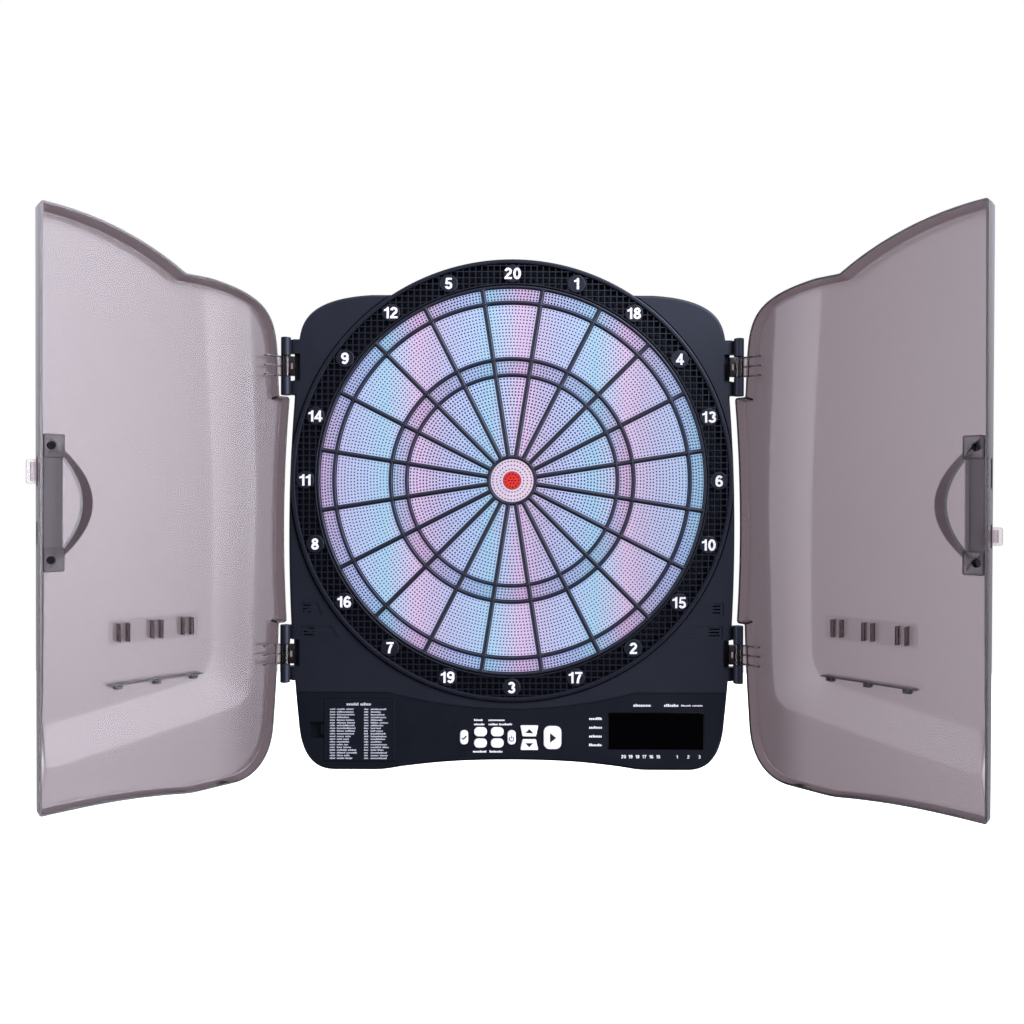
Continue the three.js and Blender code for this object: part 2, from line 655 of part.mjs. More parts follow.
function latchTab(side, { z0, z1 }) {
  const plateSolid = doorBlock(side, tab.u0, tab.u1, z0, z1, tab.out, tab.out + tab.thick);
  const middle = (z0 + z1) / 2;
  return plateSolid.subtract(doorBlock(side, tab.u1 - 6, tab.u1 - 2, middle - 5, middle + 5, 0, 20));
}

function dartClips(side) {
  const floor = raisedOut - doorWall - gap;
  const solids = [doorBlock(side, clips.u0, clips.u1, clips.z0, clips.z1, floor - 1.2, floor)];
  const prongLow = clips.z0 + 3;
  const prongHigh = clips.z1 - 3;
  clips.at.forEach((u) => {
    [-1, 1].forEach((end) => {
      const near = u + (end * clips.gap) / 2;
      const far = near + end * clips.prong;
      const [u0, u1] = [Math.min(near, far), Math.max(near, far)];
      solids.push(doorBlock(side, u0, u1, prongLow, prongHigh, floor - clips.height, floor - 1));
    });
  });
  return join(solids);
}

function dartRest(side) {
  const floor = raisedOut - doorWall - gap;
  const front = floor - rest.height;
  const shelf = doorBlock(side, rest.u0, rest.u1, rest.z, rest.z + rest.thick, front, floor);
  const posts = rest.posts.map((u) =>
    doorBlock(side, u - 3, u + 3, rest.z - 4, rest.z + 0.5, front + 1.5, floor));
  return join([shelf, ...posts]);
}

[["left", -1], ["right", 1]].forEach(([name, side]) => {
  const group = new THREE.Group();
  group.position.set(side * hinge.x, -hinge.depth, 0);
  group.rotation.z = side * THREE.MathUtils.degToRad(openAngle[name]);
  addTo(group, `${name}_door`, doorShell(side), doorPlastic);
  addTo(group, `${name}_finger_cup`, fingerCup(side), cupPlastic);
  addTo(group, `${name}_latch_tab`, latchTab(side, tabs[name]), doorPlastic);
  addTo(group, `${name}_dart_clips`, dartClips(side), doorPlastic);
  addTo(group, `${name}_dart_rest`, dartRest(side), doorPlastic);
  dartboard.add(group);
});

export default dartboard;
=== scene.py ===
import math
import random

import bmesh
import bpy
import numpy as np
from mathutils import Matrix, Vector
from mathutils.geometry import delaunay_2d_cdt


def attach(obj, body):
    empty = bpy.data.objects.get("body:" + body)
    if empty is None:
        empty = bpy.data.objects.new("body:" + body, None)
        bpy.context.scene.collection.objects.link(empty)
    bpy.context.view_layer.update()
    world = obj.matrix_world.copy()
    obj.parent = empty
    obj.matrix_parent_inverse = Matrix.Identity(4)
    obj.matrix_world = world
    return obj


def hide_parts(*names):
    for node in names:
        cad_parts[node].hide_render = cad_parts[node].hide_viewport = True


# An electronic dartboard with two smoked doors. Sizes are in millimetres, as in the CAD part: X to the right,
# Y back to the wall, Z up, and a depth is a distance in front of the wall. piece() turns them into metres.

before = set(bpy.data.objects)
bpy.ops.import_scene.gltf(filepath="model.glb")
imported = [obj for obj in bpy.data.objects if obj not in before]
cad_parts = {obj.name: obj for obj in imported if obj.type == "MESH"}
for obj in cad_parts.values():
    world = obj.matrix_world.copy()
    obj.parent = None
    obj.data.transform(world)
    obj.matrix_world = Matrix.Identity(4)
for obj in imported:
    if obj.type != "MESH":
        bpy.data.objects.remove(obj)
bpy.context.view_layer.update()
MM = 0.001

# Casing
REAR_DEPTH = 24.3
SHOULDER_DEPTH = 46.5
RING_DEPTH = 50
CASING_WALL = 2.5
SEAM_SIDE_Z = -218.4
SEAM_MIDDLE_Z = -235.1
SEAM_CURVE_HALF = 127
EAR_X = 226
EAR_POCKET = 13.9

# Target
SECTOR_COUNT = 20
SECTOR_ANGLE = 2 * math.pi / SECTOR_COUNT
DIVIDER_WIDTH = 4.1
SPIDER_RINGS = [(22.6, 25.6), (106.6, 109.7), (123, 126.4), (180.7, 184.2), (197.1, 200.4)]
SPIDER_FRONT = 49.6
SPIDER_BACK = 43.6
SEGMENT_FRONT = 48.3
SEGMENT_BACK = 43.0
SEGMENT_GAP = 0.5
HOLE_RADIUS = 0.86
INNER_HOLE_RADIUS = 1.02
HOLE_FLOOR = 45.8
HOLE_PITCH = 3.3
BULL_RADIUS = 9
NUMBERS = [20, 1, 18, 4, 13, 6, 10, 15, 2, 17, 3, 19, 7, 16, 8, 11, 14, 9, 12, 5]

# Number ring
RING_INNER = 201
RING_OUTER = 227
RING_FLOOR = 41.9
LATTICE_PITCH = 6.3
DISC_AT = 212.2
DISC_RADIUS = 9.4

# Doors, closed: u runs from the hinge axis to the free edge, w outwards from the rim's plane
HINGE_X = 232
HINGE_DEPTH = 50
HINGE_Z = (116.4, -177.7)
KNUCKLE_RADIUS = 5
DOOR_KNUCKLE = 20.6
BODY_KNUCKLE = 18.9
OPEN_ANGLE = {"left": 136, "right": 132}
SIDES = {"left": -1, "right": 1}
DOOR_WALL = 2
DOOR_RIM = 0.6
BASE_OUT = 14
RAISED_OUT = 21
FREE_EDGE = 231.6

# Screws at the back, on either side
CASE_SCREWS = [(190, 150), (190, -10), (200, -190), (110, -270)]

# Control panel
FLAP = (-192.8, -119.6, -288.9, -224.8)
FINGER_RECESS = (-207.1, -193.2, -265.1, -248.5)
WINDOW = (148.8, -257.1, 98.6, 37.7)
BUTTON_FRONT = 48.6
BUTTON_FLANGE = 43.6
BUTTON_BACK = 41.8


# ---- outlines: lists of (x, z) points ----

def bezier(points, steps):
    """Points after the first one on a curve of two or three handles."""
    made = []
    for i in range(1, steps + 1):
        t = i / steps
        row = [Vector(p) for p in points]
        while len(row) > 1:
            row = [a.lerp(b, t) for a, b in zip(row, row[1:])]
        made.append(tuple(row[0]))
    return made


def arc(x, z, radius, start, end, steps):
    angles = [start + (end - start) * i / steps for i in range(steps + 1)]
    return [(x + radius * math.cos(a), z + radius * math.sin(a)) for a in angles]


def circle(radius, sides, x=0, z=0, turn=0):
    return arc(x, z, radius, turn, turn + 2 * math.pi, sides)[:-1]


def rectangle(x0, x1, z0, z1):
    return [(x0, z0), (x1, z0), (x1, z1), (x0, z1)]


def pad(x, z, width, height, radius, steps=6):
    """A rectangle with round corners."""
    made = []
    for corner, (sx, sz) in enumerate([(1, 1), (-1, 1), (-1, -1), (1, -1)]):
        start = corner * math.pi / 2
        cx = x + sx * (width / 2 - radius)
        cz = z + sz * (height / 2 - radius)
        made += arc(cx, cz, radius, start, start + math.pi / 2, steps)
    return made


def area(points):
    return sum(a[0] * b[1] - b[0] * a[1] for a, b in zip(points, points[1:] + points[:1])) / 2


def counterclockwise(points):
    return points if area(points) > 0 else points[::-1]


def inset(points, distance):
    """Moves every side of a counterclockwise outline inwards by the same distance."""
    made = []
    count = len(points)
    for i, (x, z) in enumerate(points):
        before = Vector((x - points[i - 1][0], z - points[i - 1][1])).normalized()
        after = Vector((points[(i + 1) % count][0] - x, points[(i + 1) % count][1] - z)).normalized()
        inward = Vector((-before.y - after.y, before.x + after.x)) / 2
        reach = distance / max(inward.length_squared, 0.2)
        made.append((x + inward.x * reach, z + inward.y * reach))
    return made


def round_corner(before, corner, after, radius, steps=5):
    """Points of an arc of a radius in the corner between two sides."""
    a = (Vector(before) - Vector(corner)).normalized()
    b = (Vector(after) - Vector(corner)).normalized()
    half = a.angle(b) / 2
    reach = radius / math.tan(half)
    middle = Vector(corner) + (a + b).normalized() * radius / math.sin(half)
    start = Vector(corner) + a * reach - middle
    end = Vector(corner) + b * reach - middle
    made = []
    for i in range(steps + 1):
        t = i / steps
        turn = start.angle(end)
        mixed = (start * math.sin((1 - t) * turn) + end * math.sin(t * turn)) / math.sin(turn)
        made.append(tuple(middle + mixed))
    return made


def inside(points, outline):
    """Which of an array of points lie inside an outline."""
    points = np.asarray(points, float)
    result = np.zeros(len(points), bool)
    for (x0, z0), (x1, z1) in zip(outline, outline[1:] + outline[:1]):
        if z0 == z1:
            continue
        crosses = (z0 > points[:, 1]) != (z1 > points[:, 1])
        at = x0 + (points[:, 1] - z0) * (x1 - x0) / (z1 - z0)
        result ^= crosses & (points[:, 0] < at)
    return result


def distance_to(points, line, closed=True):
    """How far each of an array of points is from a line of points."""
    points = np.asarray(points, float)
    best = np.full(len(points), 1e9)
    ends = line[1:] + line[:1] if closed else line[1:]
    for a, b in zip(line, ends):
        a, b = np.array(a, float), np.array(b, float)
        along = b - a
        t = np.clip(((points - a) @ along) / max(along @ along, 1e-12), 0, 1)
        gap = np.hypot(*(points - a - np.outer(t, along)).T)
        best = np.minimum(best, gap)
    return best


# ---- solids: (points, faces) in millimetres, each one closed ----

def skirt(first, second):
    """The faces between two closed rows of point indices."""
    count = len(first)
    return [(first[i], first[(i + 1) % count], second[(i + 1) % count], second[i]) for i in range(count)]


def prism_faces(count):
    """The faces of a solid between two end profiles of a count of points each."""
    near, far = range(count), range(count, 2 * count)
    return [tuple(near), tuple(far)] + skirt(near, far)


def loft(rows):
    """A solid through outlines of equal point count; each row is (points, depth)."""
    count = len(rows[0][0])
    verts = [(x, -depth, z) for points, depth in rows for x, z in points]
    faces = [tuple(range(count)), tuple(range((len(rows) - 1) * count, len(rows) * count))[::-1]]
    for r in range(len(rows) - 1):
        for i in range(count):
            j = (i + 1) % count
            faces.append((r * count + i, (r + 1) * count + i, (r + 1) * count + j, r * count + j))
    return verts, faces


def plate(points, back, front, front_round=0.0, back_round=0.0, steps=3):
    """A plate between two depths, its edges rounded to a radius at the front and the back."""
    points = counterclockwise(points)
    rows = []
    if back_round:
        for i in range(steps + 1):
            a = math.pi / 2 * (1 - i / steps)
            edge = inset(points, back_round * (1 - math.cos(a)))
            rows.append((edge, back + back_round * (1 - math.sin(a))))
    else:
        rows.append((points, back))
    if front_round:
        for i in range(steps + 1):
            a = math.pi / 2 * i / steps
            edge = inset(points, front_round * (1 - math.cos(a)))
            rows.append((edge, front - front_round * (1 - math.sin(a))))
    else:
        rows.append((points, front))
    return loft(rows)


def lathe(profile, sides):
    """A ring or a disc about the target's axis from a closed profile of (radius, depth) points."""
    verts, faces = [], []
    count = len(profile)
    for s in range(sides):
        a = 2 * math.pi * s / sides
        verts += [(r * math.cos(a), -d, r * math.sin(a)) for r, d in profile]
    for s in range(sides):
        a, b = s * count, (s + 1) % sides * count
        faces += skirt(range(a, a + count), range(b, b + count))
    return verts, faces


def upright(radius, sides, x, y, z0, z1, chamfer=0.0):
    """A cylinder along Z, its ends chamfered."""
    rows = [(radius - chamfer, z0), (radius, z0 + chamfer), (radius, z1 - chamfer), (radius - chamfer, z1)]
    if not chamfer:
        rows = [(radius, z0), (radius, z1)]
    verts = [(x + r * math.cos(2 * math.pi * i / sides), y + r * math.sin(2 * math.pi * i / sides), z)
             for r, z in rows for i in range(sides)]
    faces = [tuple(range(sides)), tuple(range((len(rows) - 1) * sides, len(rows) * sides))]
    for a in range(0, (len(rows) - 1) * sides, sides):
        faces += skirt(range(a, a + sides), range(a + sides, a + 2 * sides))
    return verts, faces


def block(x0, x1, z0, z1, back, front, rounding=0.0):
    return plate(rectangle(min(x0, x1), max(x0, x1), z0, z1), back, front, rounding, rounding, 2)


def together(*solids):
    """Solids that don't touch each other, as one."""
    verts, faces = [], []
    for v, f in solids:
        start = len(verts)
        verts += v
        faces += [tuple(start + i for i in face) for face in f]
    return verts, faces


def moved(solid, matrix):
    verts, faces = solid
    return [tuple(matrix @ Vector(v)) for v in verts], faces


def mesh_of(name, solid, scale=1.0):
    mesh = bpy.data.meshes.new(name)
    verts, faces = solid
    mesh.from_pydata([tuple(c * scale for c in v) for v in verts], [], faces)
    work = bmesh.new()
    work.from_mesh(mesh)
    bmesh.ops.recalc_face_normals(work, faces=work.faces)
    work.to_mesh(mesh)
    work.free()
    return mesh


def combined(base, tool, operation):
    """Two solids as one, by a boolean: UNION, DIFFERENCE or INTERSECT."""
    first = bpy.data.objects.new("work_base", mesh_of("work_base", base))
    second = bpy.data.objects.new("work_tool", mesh_of("work_tool", tool))
    for o in (first, second):
        bpy.context.scene.collection.objects.link(o)
    modifier = first.modifiers.new("work", "BOOLEAN")
    modifier.operation = operation
    modifier.solver = "MANIFOLD"
    modifier.object = second
    bpy.context.view_layer.update()
    mesh = first.evaluated_get(bpy.context.evaluated_depsgraph_get()).to_mesh()
    result = [tuple(v.co) for v in mesh.vertices], [tuple(p.vertices) for p in mesh.polygons]
    if not result[1]:
        raise ValueError("a boolean left nothing")
    for o in (first, second):
        data = o.data
        bpy.data.objects.remove(o)
        bpy.data.meshes.remove(data)
    return result


def cut(base, *tools):
    for tool in tools:
        base = combined(base, tool, "DIFFERENCE")
    return base


def join(base, *others):
    for other in others:
        base = combined(base, other, "UNION")
    return base


def common(base, other):
    return combined(base, other, "INTERSECT")


def piece(name, solid, body, slot, material, replaces=(), matrix=None, sharp=32.0, weighted=True):
    """Makes a solid into a shown piece that rides on a CAD body."""
    if matrix is not None:
        solid = moved(solid, matrix)
    obj = bpy.data.objects.new(name, mesh_of(name, solid, MM))
    bpy.context.scene.collection.objects.link(obj)
    obj.data.materials.append(material)
    obj.data.shade_smooth()
    obj.data.set_sharp_from_angle(angle=math.radians(sharp))
    if weighted:
        modifier = obj.modifiers.new("even_normals", "WEIGHTED_NORMAL")
        modifier.keep_sharp = True
    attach(obj, body)
    if replaces:
        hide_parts(*replaces)
    return obj


# ---- materials ----

def new_material(name):
    material = bpy.data.materials.new(name)
    material.use_nodes = True
    shader = material.node_tree.nodes["Principled BSDF"]
    return material, material.node_tree, shader


def add_node(tree, kind, **inputs):
    node = tree.nodes.new(kind)
    for name, value in inputs.items():
        node.inputs[name.replace("_", " ")].default_value = value
    return node


def noise(tree, scale, detail=2.0):
    """A noise value over the piece's own metres."""
    coordinates = tree.nodes.new("ShaderNodeTexCoord")
    node = add_node(tree, "ShaderNodeTexNoise", Scale=scale, Detail=detail)
    tree.links.new(coordinates.outputs["Object"], node.inputs["Vector"])
    return node.outputs["Fac"]


def ramp(tree, value, stops, smooth="LINEAR"):
    """A colour ramp from (position, colour) stops."""
    node = tree.nodes.new("ShaderNodeValToRGB")
    node.color_ramp.interpolation = smooth
    elements = node.color_ramp.elements
    while len(elements) < len(stops):
        elements.new(0.5)
    for element, (position, colour) in zip(elements, stops):
        element.position = position
        element.color = (*colour, 1.0)
    tree.links.new(value, node.inputs["Fac"])
    return node.outputs["Color"]


def spread(tree, value, low, high):
    """A value from 0 to 1 spread from low to high."""
    node = add_node(tree, "ShaderNodeMapRange", To_Min=low, To_Max=high)
    tree.links.new(value, node.inputs["Value"])
    return node.outputs["Result"]


def grain(tree, shader, scale, height, strength=1.0):
    """A fine moulded texture, its grains 1/scale metres across."""
    bump = add_node(tree, "ShaderNodeBump", Strength=strength, Distance=height)
    tree.links.new(noise(tree, scale, 3.0), bump.inputs["Height"])
    tree.links.new(bump.outputs["Normal"], shader.inputs["Normal"])


def plastic(name, colour, variation=0.15, roughness=(0.42, 0.56), texture=(1600.0, 0.00006), specular=0.5,
            gloss_tint=(1.0, 1.0, 1.0, 1)):
    """A moulded plastic: its colour varies a little, and its surface has a fine grain."""
    material, tree, shader = new_material(name)
    low = tuple(c * (1 - variation) for c in colour)
    high = tuple(min(1.0, c * (1 + variation)) for c in colour)
    tone = ramp(tree, noise(tree, 22.0, 4.0), [(0.3, low), (0.7, high)])
    tree.links.new(tone, shader.inputs["Base Color"])
    tree.links.new(spread(tree, noise(tree, 60.0, 3.0), *roughness), shader.inputs["Roughness"])
    shader.inputs["Specular IOR Level"].default_value = specular
    shader.inputs["Specular Tint"].default_value = gloss_tint
    grain(tree, shader, *texture)
    return material


# Pastel light behind the target: tones along X, repeated every period, from a cyan band on
GLOW_PERIOD = 0.1076
GLOW_START = -0.0225
FACE_TONES = [
    (0.00, (0.44, 0.67, 0.85)), (0.15, (0.57, 0.64, 0.84)), (0.30, (0.70, 0.58, 0.80)),
    (0.45, (0.60, 0.55, 0.78)), (0.62, (0.53, 0.58, 0.82)), (0.82, (0.50, 0.63, 0.86)),
    (1.00, (0.44, 0.67, 0.85)),
]
# Painted shade for the dart holes and the segments' chamfered edges: darker, deeper tones that glow there in
# place of the face tones
HOLE_SHADE_TONES = [
    (0.00, (0.00, 0.22, 0.52)), (0.15, (0.05, 0.06, 0.42)), (0.30, (0.33, 0.01, 0.34)),
    (0.45, (0.14, 0.00, 0.24)), (0.62, (0.03, 0.01, 0.34)), (0.82, (0.00, 0.06, 0.46)),
    (1.00, (0.00, 0.22, 0.52)),
]
LIT_BASE = 0.4  # how much of its tone a lit segment also has as its own colour
COAT_ROUGHNESS = 0.34


def lit_plastic(name, face_tones, hole_shade_tones, glow, shade=1.0):
    """Translucent white plastic lit from behind, with painted shade: from just behind its front, in its dart
    holes and on its chamfered edges, it takes darker, deeper tones.
    """
    material, tree, shader = new_material(name)
    coordinates = tree.nodes.new("ShaderNodeTexCoord")
    axes = tree.nodes.new("ShaderNodeSeparateXYZ")
    tree.links.new(coordinates.outputs["Object"], axes.inputs[0])
    phase = add_node(tree, "ShaderNodeMapRange", To_Max=8.0)
    phase.clamp = False
    phase.inputs["From Min"].default_value = GLOW_START - 4 * GLOW_PERIOD
    phase.inputs["From Max"].default_value = GLOW_START + 4 * GLOW_PERIOD
    tree.links.new(axes.outputs["X"], phase.inputs["Value"])
    wrapped = tree.nodes.new("ShaderNodeMath")
    wrapped.operation = "FRACT"
    tree.links.new(phase.outputs["Result"], wrapped.inputs[0])
    shaded = [(at, tuple(c * shade for c in tone)) for at, tone in face_tones]
    face = ramp(tree, wrapped.outputs[0], shaded)
    # Painted shade: the darker, deeper tones of the holes' sides
    hole = ramp(tree, wrapped.outputs[0], hole_shade_tones)
    # Painted shade by depth: from 0.1 mm behind the front face the colour turns towards the hole tones, fully
    # at 0.5 mm, chamfered edges included; the glow takes the same shaded colour
    depth = tree.nodes.new("ShaderNodeMapRange")
    depth.inputs["From Min"].default_value = -(SEGMENT_FRONT - 0.1) * MM
    depth.inputs["From Max"].default_value = -(SEGMENT_FRONT - 0.5) * MM
    tree.links.new(axes.outputs["Y"], depth.inputs["Value"])
    mix = tree.nodes.new("ShaderNodeMix")
    mix.data_type = "RGBA"
    tree.links.new(depth.outputs["Result"], mix.inputs["Factor"])
    tree.links.new(face, mix.inputs["A"])
    tree.links.new(hole, mix.inputs["B"])
    dark = tree.nodes.new("ShaderNodeVectorMath")
    dark.operation = "SCALE"
    dark.inputs["Scale"].default_value = LIT_BASE
    tree.links.new(mix.outputs["Result"], dark.inputs[0])
    tree.links.new(dark.outputs[0], shader.inputs["Base Color"])
    tree.links.new(mix.outputs["Result"], shader.inputs["Emission Color"])
    shader.inputs["Emission Strength"].default_value = glow
    tree.links.new(spread(tree, noise(tree, 90.0, 3.0), 0.38, 0.52), shader.inputs["Roughness"])
    grain(tree, shader, 1200.0, 0.00004)
    return material


def smoked_plastic(name, clear, roughness, coat=1.0):
    """Tinted clear plastic that takes off light with its depth. clear: what a door's wall lets through."""
    material, tree, shader = new_material(name)
    tint = ramp(tree, noise(tree, 9.0, 2.0), [(0.3, (0.965, 0.955, 0.965)), (0.7, (0.985, 0.98, 0.985))])
    tree.links.new(tint, shader.inputs["Base Color"])
    shader.inputs["Transmission Weight"].default_value = 1.0
    shader.inputs["IOR"].default_value = 1.46
    shader.inputs["Specular Tint"].default_value = (0.3, 0.3, 0.3, 1)
    shader.inputs["Coat Weight"].default_value = coat
    shader.inputs["Coat IOR"].default_value = 1.5
    shader.inputs["Coat Roughness"].default_value = COAT_ROUGHNESS
    tree.links.new(spread(tree, noise(tree, 45.0, 4.0), *roughness), shader.inputs["Roughness"])
    rates = [-math.log(c) / (DOOR_WALL * MM) for c in clear]
    density = max(rates) * 1.02
    absorb = tree.nodes.new("ShaderNodeVolumeAbsorption")
    absorb.inputs["Color"].default_value = (*[1 - rate / density for rate in rates], 1)
    absorb.inputs["Density"].default_value = density
    tree.links.new(absorb.outputs["Volume"], tree.nodes["Material Output"].inputs["Volume"])
    return material


def metal(name, colour, roughness):
    material, tree, shader = new_material(name)
    shader.inputs["Metallic"].default_value = 1.0
    low = tuple(c * 0.8 for c in colour)
    tone = ramp(tree, noise(tree, 300.0, 3.0), [(0.3, low), (0.7, colour)])
    tree.links.new(tone, shader.inputs["Base Color"])
    tree.links.new(spread(tree, noise(tree, 500.0, 3.0), *roughness), shader.inputs["Roughness"])
    grain(tree, shader, 2500.0, 0.00002)
    return material


def there_and_back(ends, middle):
    """Stops of a ramp that starts and ends with one colour."""
    return [(0.0, ends), (0.5, middle), (1.0, ends)]


BLUE_GLOSS = (0.66, 0.75, 1.0, 1)

MATERIALS = {
    "casing": plastic("casing_black", (0.005, 0.0056, 0.0095), roughness=(0.45, 0.56), specular=0.52,
                      gloss_tint=BLUE_GLOSS),
    "panel": plastic("panel_black", (0.003, 0.0036, 0.006), roughness=(0.44, 0.54), specular=0.34,
                     gloss_tint=BLUE_GLOSS),
    "ring": plastic("ring_black", (0.005, 0.0055, 0.0095), roughness=(0.38, 0.5), specular=0.45,
                    gloss_tint=BLUE_GLOSS),
    "spider": plastic("spider_black", (0.009, 0.010, 0.0150), roughness=(0.36, 0.46), specular=0.55,
                      gloss_tint=BLUE_GLOSS),
    # In each glowing plastic the second set of tones is painted shade for its dart holes and chamfered edges
    "segment": lit_plastic("segment_plastic", FACE_TONES, HOLE_SHADE_TONES, 0.43),
    "segment_narrow": lit_plastic("narrow_segment_plastic", FACE_TONES, HOLE_SHADE_TONES, 0.43, 0.84),
    "outer_bull": lit_plastic("bull_ring_plastic", there_and_back((0.72, 0.62, 0.78), (0.80, 0.66, 0.78)),
                              there_and_back((0.14, 0.06, 0.18), (0.22, 0.05, 0.14)), 0.45),
    "bull_red": lit_plastic("bull_red", there_and_back((0.9, 0.025, 0.02), (0.95, 0.03, 0.02)),
                            [(0.0, (0.03, 0.001, 0.003)), (1.0, (0.04, 0.001, 0.003))], 0.28),
    "button": plastic("button_white", (0.80, 0.81, 0.85), 0.03, (0.45, 0.6), (1500.0, 0.00003)),
    "print": plastic("print_white", (0.80, 0.82, 0.88), 0.05, (0.5, 0.6), (2600.0, 0.00001)),
    "print_dim": plastic("print_grey", (0.50, 0.52, 0.60), 0.1, (0.5, 0.6), (2600.0, 0.00001)),
    "mark": plastic("print_black", (0.008, 0.009, 0.012), 0.1, (0.5, 0.6), (2600.0, 0.00001), 0.2),
    "window": plastic("window_black", (0.0006, 0.0006, 0.001), 0.2, (0.05, 0.09), (120.0, 0.000002), 0.4),
    "smoked": smoked_plastic("smoked_plastic", (0.268, 0.220, 0.244), (0.05, 0.08)),
    "frosted": smoked_plastic("frosted_plastic", (0.33, 0.32, 0.37), (0.42, 0.5), 0.3),
    "clip": smoked_plastic("clip_plastic", (0.16, 0.125, 0.135), (0.08, 0.12), 0.6),
    "clear": smoked_plastic("clear_plastic", (0.55, 0.48, 0.52), (0.1, 0.16)),
    "steel": metal("pin_steel", (0.55, 0.56, 0.6), (0.25, 0.4)),
    "screw": plastic("screw_black", (0.004, 0.004, 0.005), 0.3, (0.5, 0.6), (900.0, 0.00002), 0.06),
    "board": plastic("board_green", (0.015, 0.11, 0.05), 0.25, (0.35, 0.5), (900.0, 0.00003)),
    "membrane": plastic("membrane_film", (0.7, 0.7, 0.66), 0.05, (0.6, 0.75), (900.0, 0.00003)),
    "diffuser": plastic("diffuser_white", (0.86, 0.86, 0.86), 0.03, (0.5, 0.65), (500.0, 0.00003)),
    "mat": plastic("mat_rubber", (0.32, 0.32, 0.34), 0.08, (0.7, 0.85), (900.0, 0.00004)),
    "speaker": plastic("speaker_dark", (0.03, 0.03, 0.035), 0.2, (0.5, 0.7), (800.0, 0.00005)),
}

CARRIED = {
    "rear_cover": "casing", "power_jack": "casing", "sensor_membrane": "membrane",
    "light_diffuser": "diffuser", "led_board": "board", "display_board": "board", "main_board": "board",
    "button_mat": "mat", "speaker": "speaker",
    "left_upper_hinge_pin": "screw", "left_lower_hinge_pin": "screw", "right_upper_hinge_pin": "screw",
    "right_lower_hinge_pin": "screw",
}


def dress_cad_nodes():
    for node, material in CARRIED.items():
        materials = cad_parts[node].data.materials
        materials.clear()
        materials.append(MATERIALS[material])


# ---- casing ----

def half_outline(bottom_middle, bottom_low, corner_x, side_low, shoulder, arch_radius, add_side, steps=16):
    """The right half of an outline, from the bottom up."""
    kink = (112, bottom_low + 3.4)
    points = [(0, bottom_middle)]
    points += bezier([points[-1], (60, bottom_middle), (85, bottom_middle - 3.6), kink], steps)
    points += bezier([kink, (128, bottom_low + 0.8), (130, bottom_low), (143, bottom_low)], steps // 2)
    points += [(143 + (corner_x - 143) * t, bottom_low) for t in (0.25, 0.5, 0.75, 1)]
    corner = (corner_x + 21, bottom_low)
    points += bezier([points[-1], corner, (side_low - 2.4, -284), (side_low, -248)], steps)
    points = add_side(points, steps)
    start = math.asin(shoulder / arch_radius)
    return points + arc(0, 0, arch_radius, start, math.pi / 2, 2 * steps)


def casing_side(points, steps):
    points = points + bezier([points[-1], (237, -80), (224.5, 82)], 2 * steps)
    points += bezier([points[-1], (223.2, 115), (219.6, 146)], steps // 2)
    return points + bezier([points[-1], (216.8, 161.6), (212.2, 187.5), (144.6, 191.2)], 2 * steps)


def casing_outline():
    right = half_outline(-287.9, -298.2, 182, 219.4, 191.2, 226.5, casing_side)
    return right + [(-x, z) for x, z in right[1:-1]][::-1]


def seam_line():
    control = 2 * SEAM_MIDDLE_Z - SEAM_SIDE_Z
    start = (-SEAM_CURVE_HALF, SEAM_SIDE_Z)
    curve = bezier([start, (0, control), (SEAM_CURVE_HALF, SEAM_SIDE_Z)], 40)
    return [(-260, SEAM_SIDE_Z), start, *curve, (260, SEAM_SIDE_Z)]


def below_seam(shift):
    """Everything below the seam, moved down by a distance."""
    return plate([(x, z - shift) for x, z in seam_line()] + [(260, -330), (-260, -330)], 10, 60)


def seam_groove(half, floor):
    line = seam_line()
    return plate([(x, z - half) for x, z in line] + [(x, z + half) for x, z in line[::-1]], floor, 60)


OUTLINE = counterclockwise(casing_outline())


def casing_shell():
    outer = plate(OUTLINE, REAR_DEPTH, SHOULDER_DEPTH, 3.2, 0.5, 5)
    inner = plate(inset(OUTLINE, CASING_WALL), REAR_DEPTH - 1, SHOULDER_DEPTH - CASING_WALL)
    return cut(outer, inner)


def vent_tools(side):
    """The two louvred recesses on a side: the inner end slants, and three slots are at the outer end."""
    tools = []
    for outer_x, z, width, height, slant, slot_length in [(218, -132.2, 24, 13.3, 6.5, 8.2),
                                                          (217, -155.9, 40, 12.6, 9.0, 11)]:
        low, high = z - height / 2, z + height / 2
        inner_x = outer_x - width
        outline = [(outer_x, low), (outer_x, high), (inner_x + slant, high), (inner_x, low)]
        tools.append(plate([(side * x, h) for x, h in outline], SHOULDER_DEPTH - 1, 60))
        for row in (-1, 0, 1):
            x0 = side * (outer_x - 3)
            x1 = side * (outer_x - 3 - slot_length)
            tools.append(block(x0, x1, z + row * 3.4 - 0.7, z + row * 3.4 + 0.7, 40, 60))
    return tools


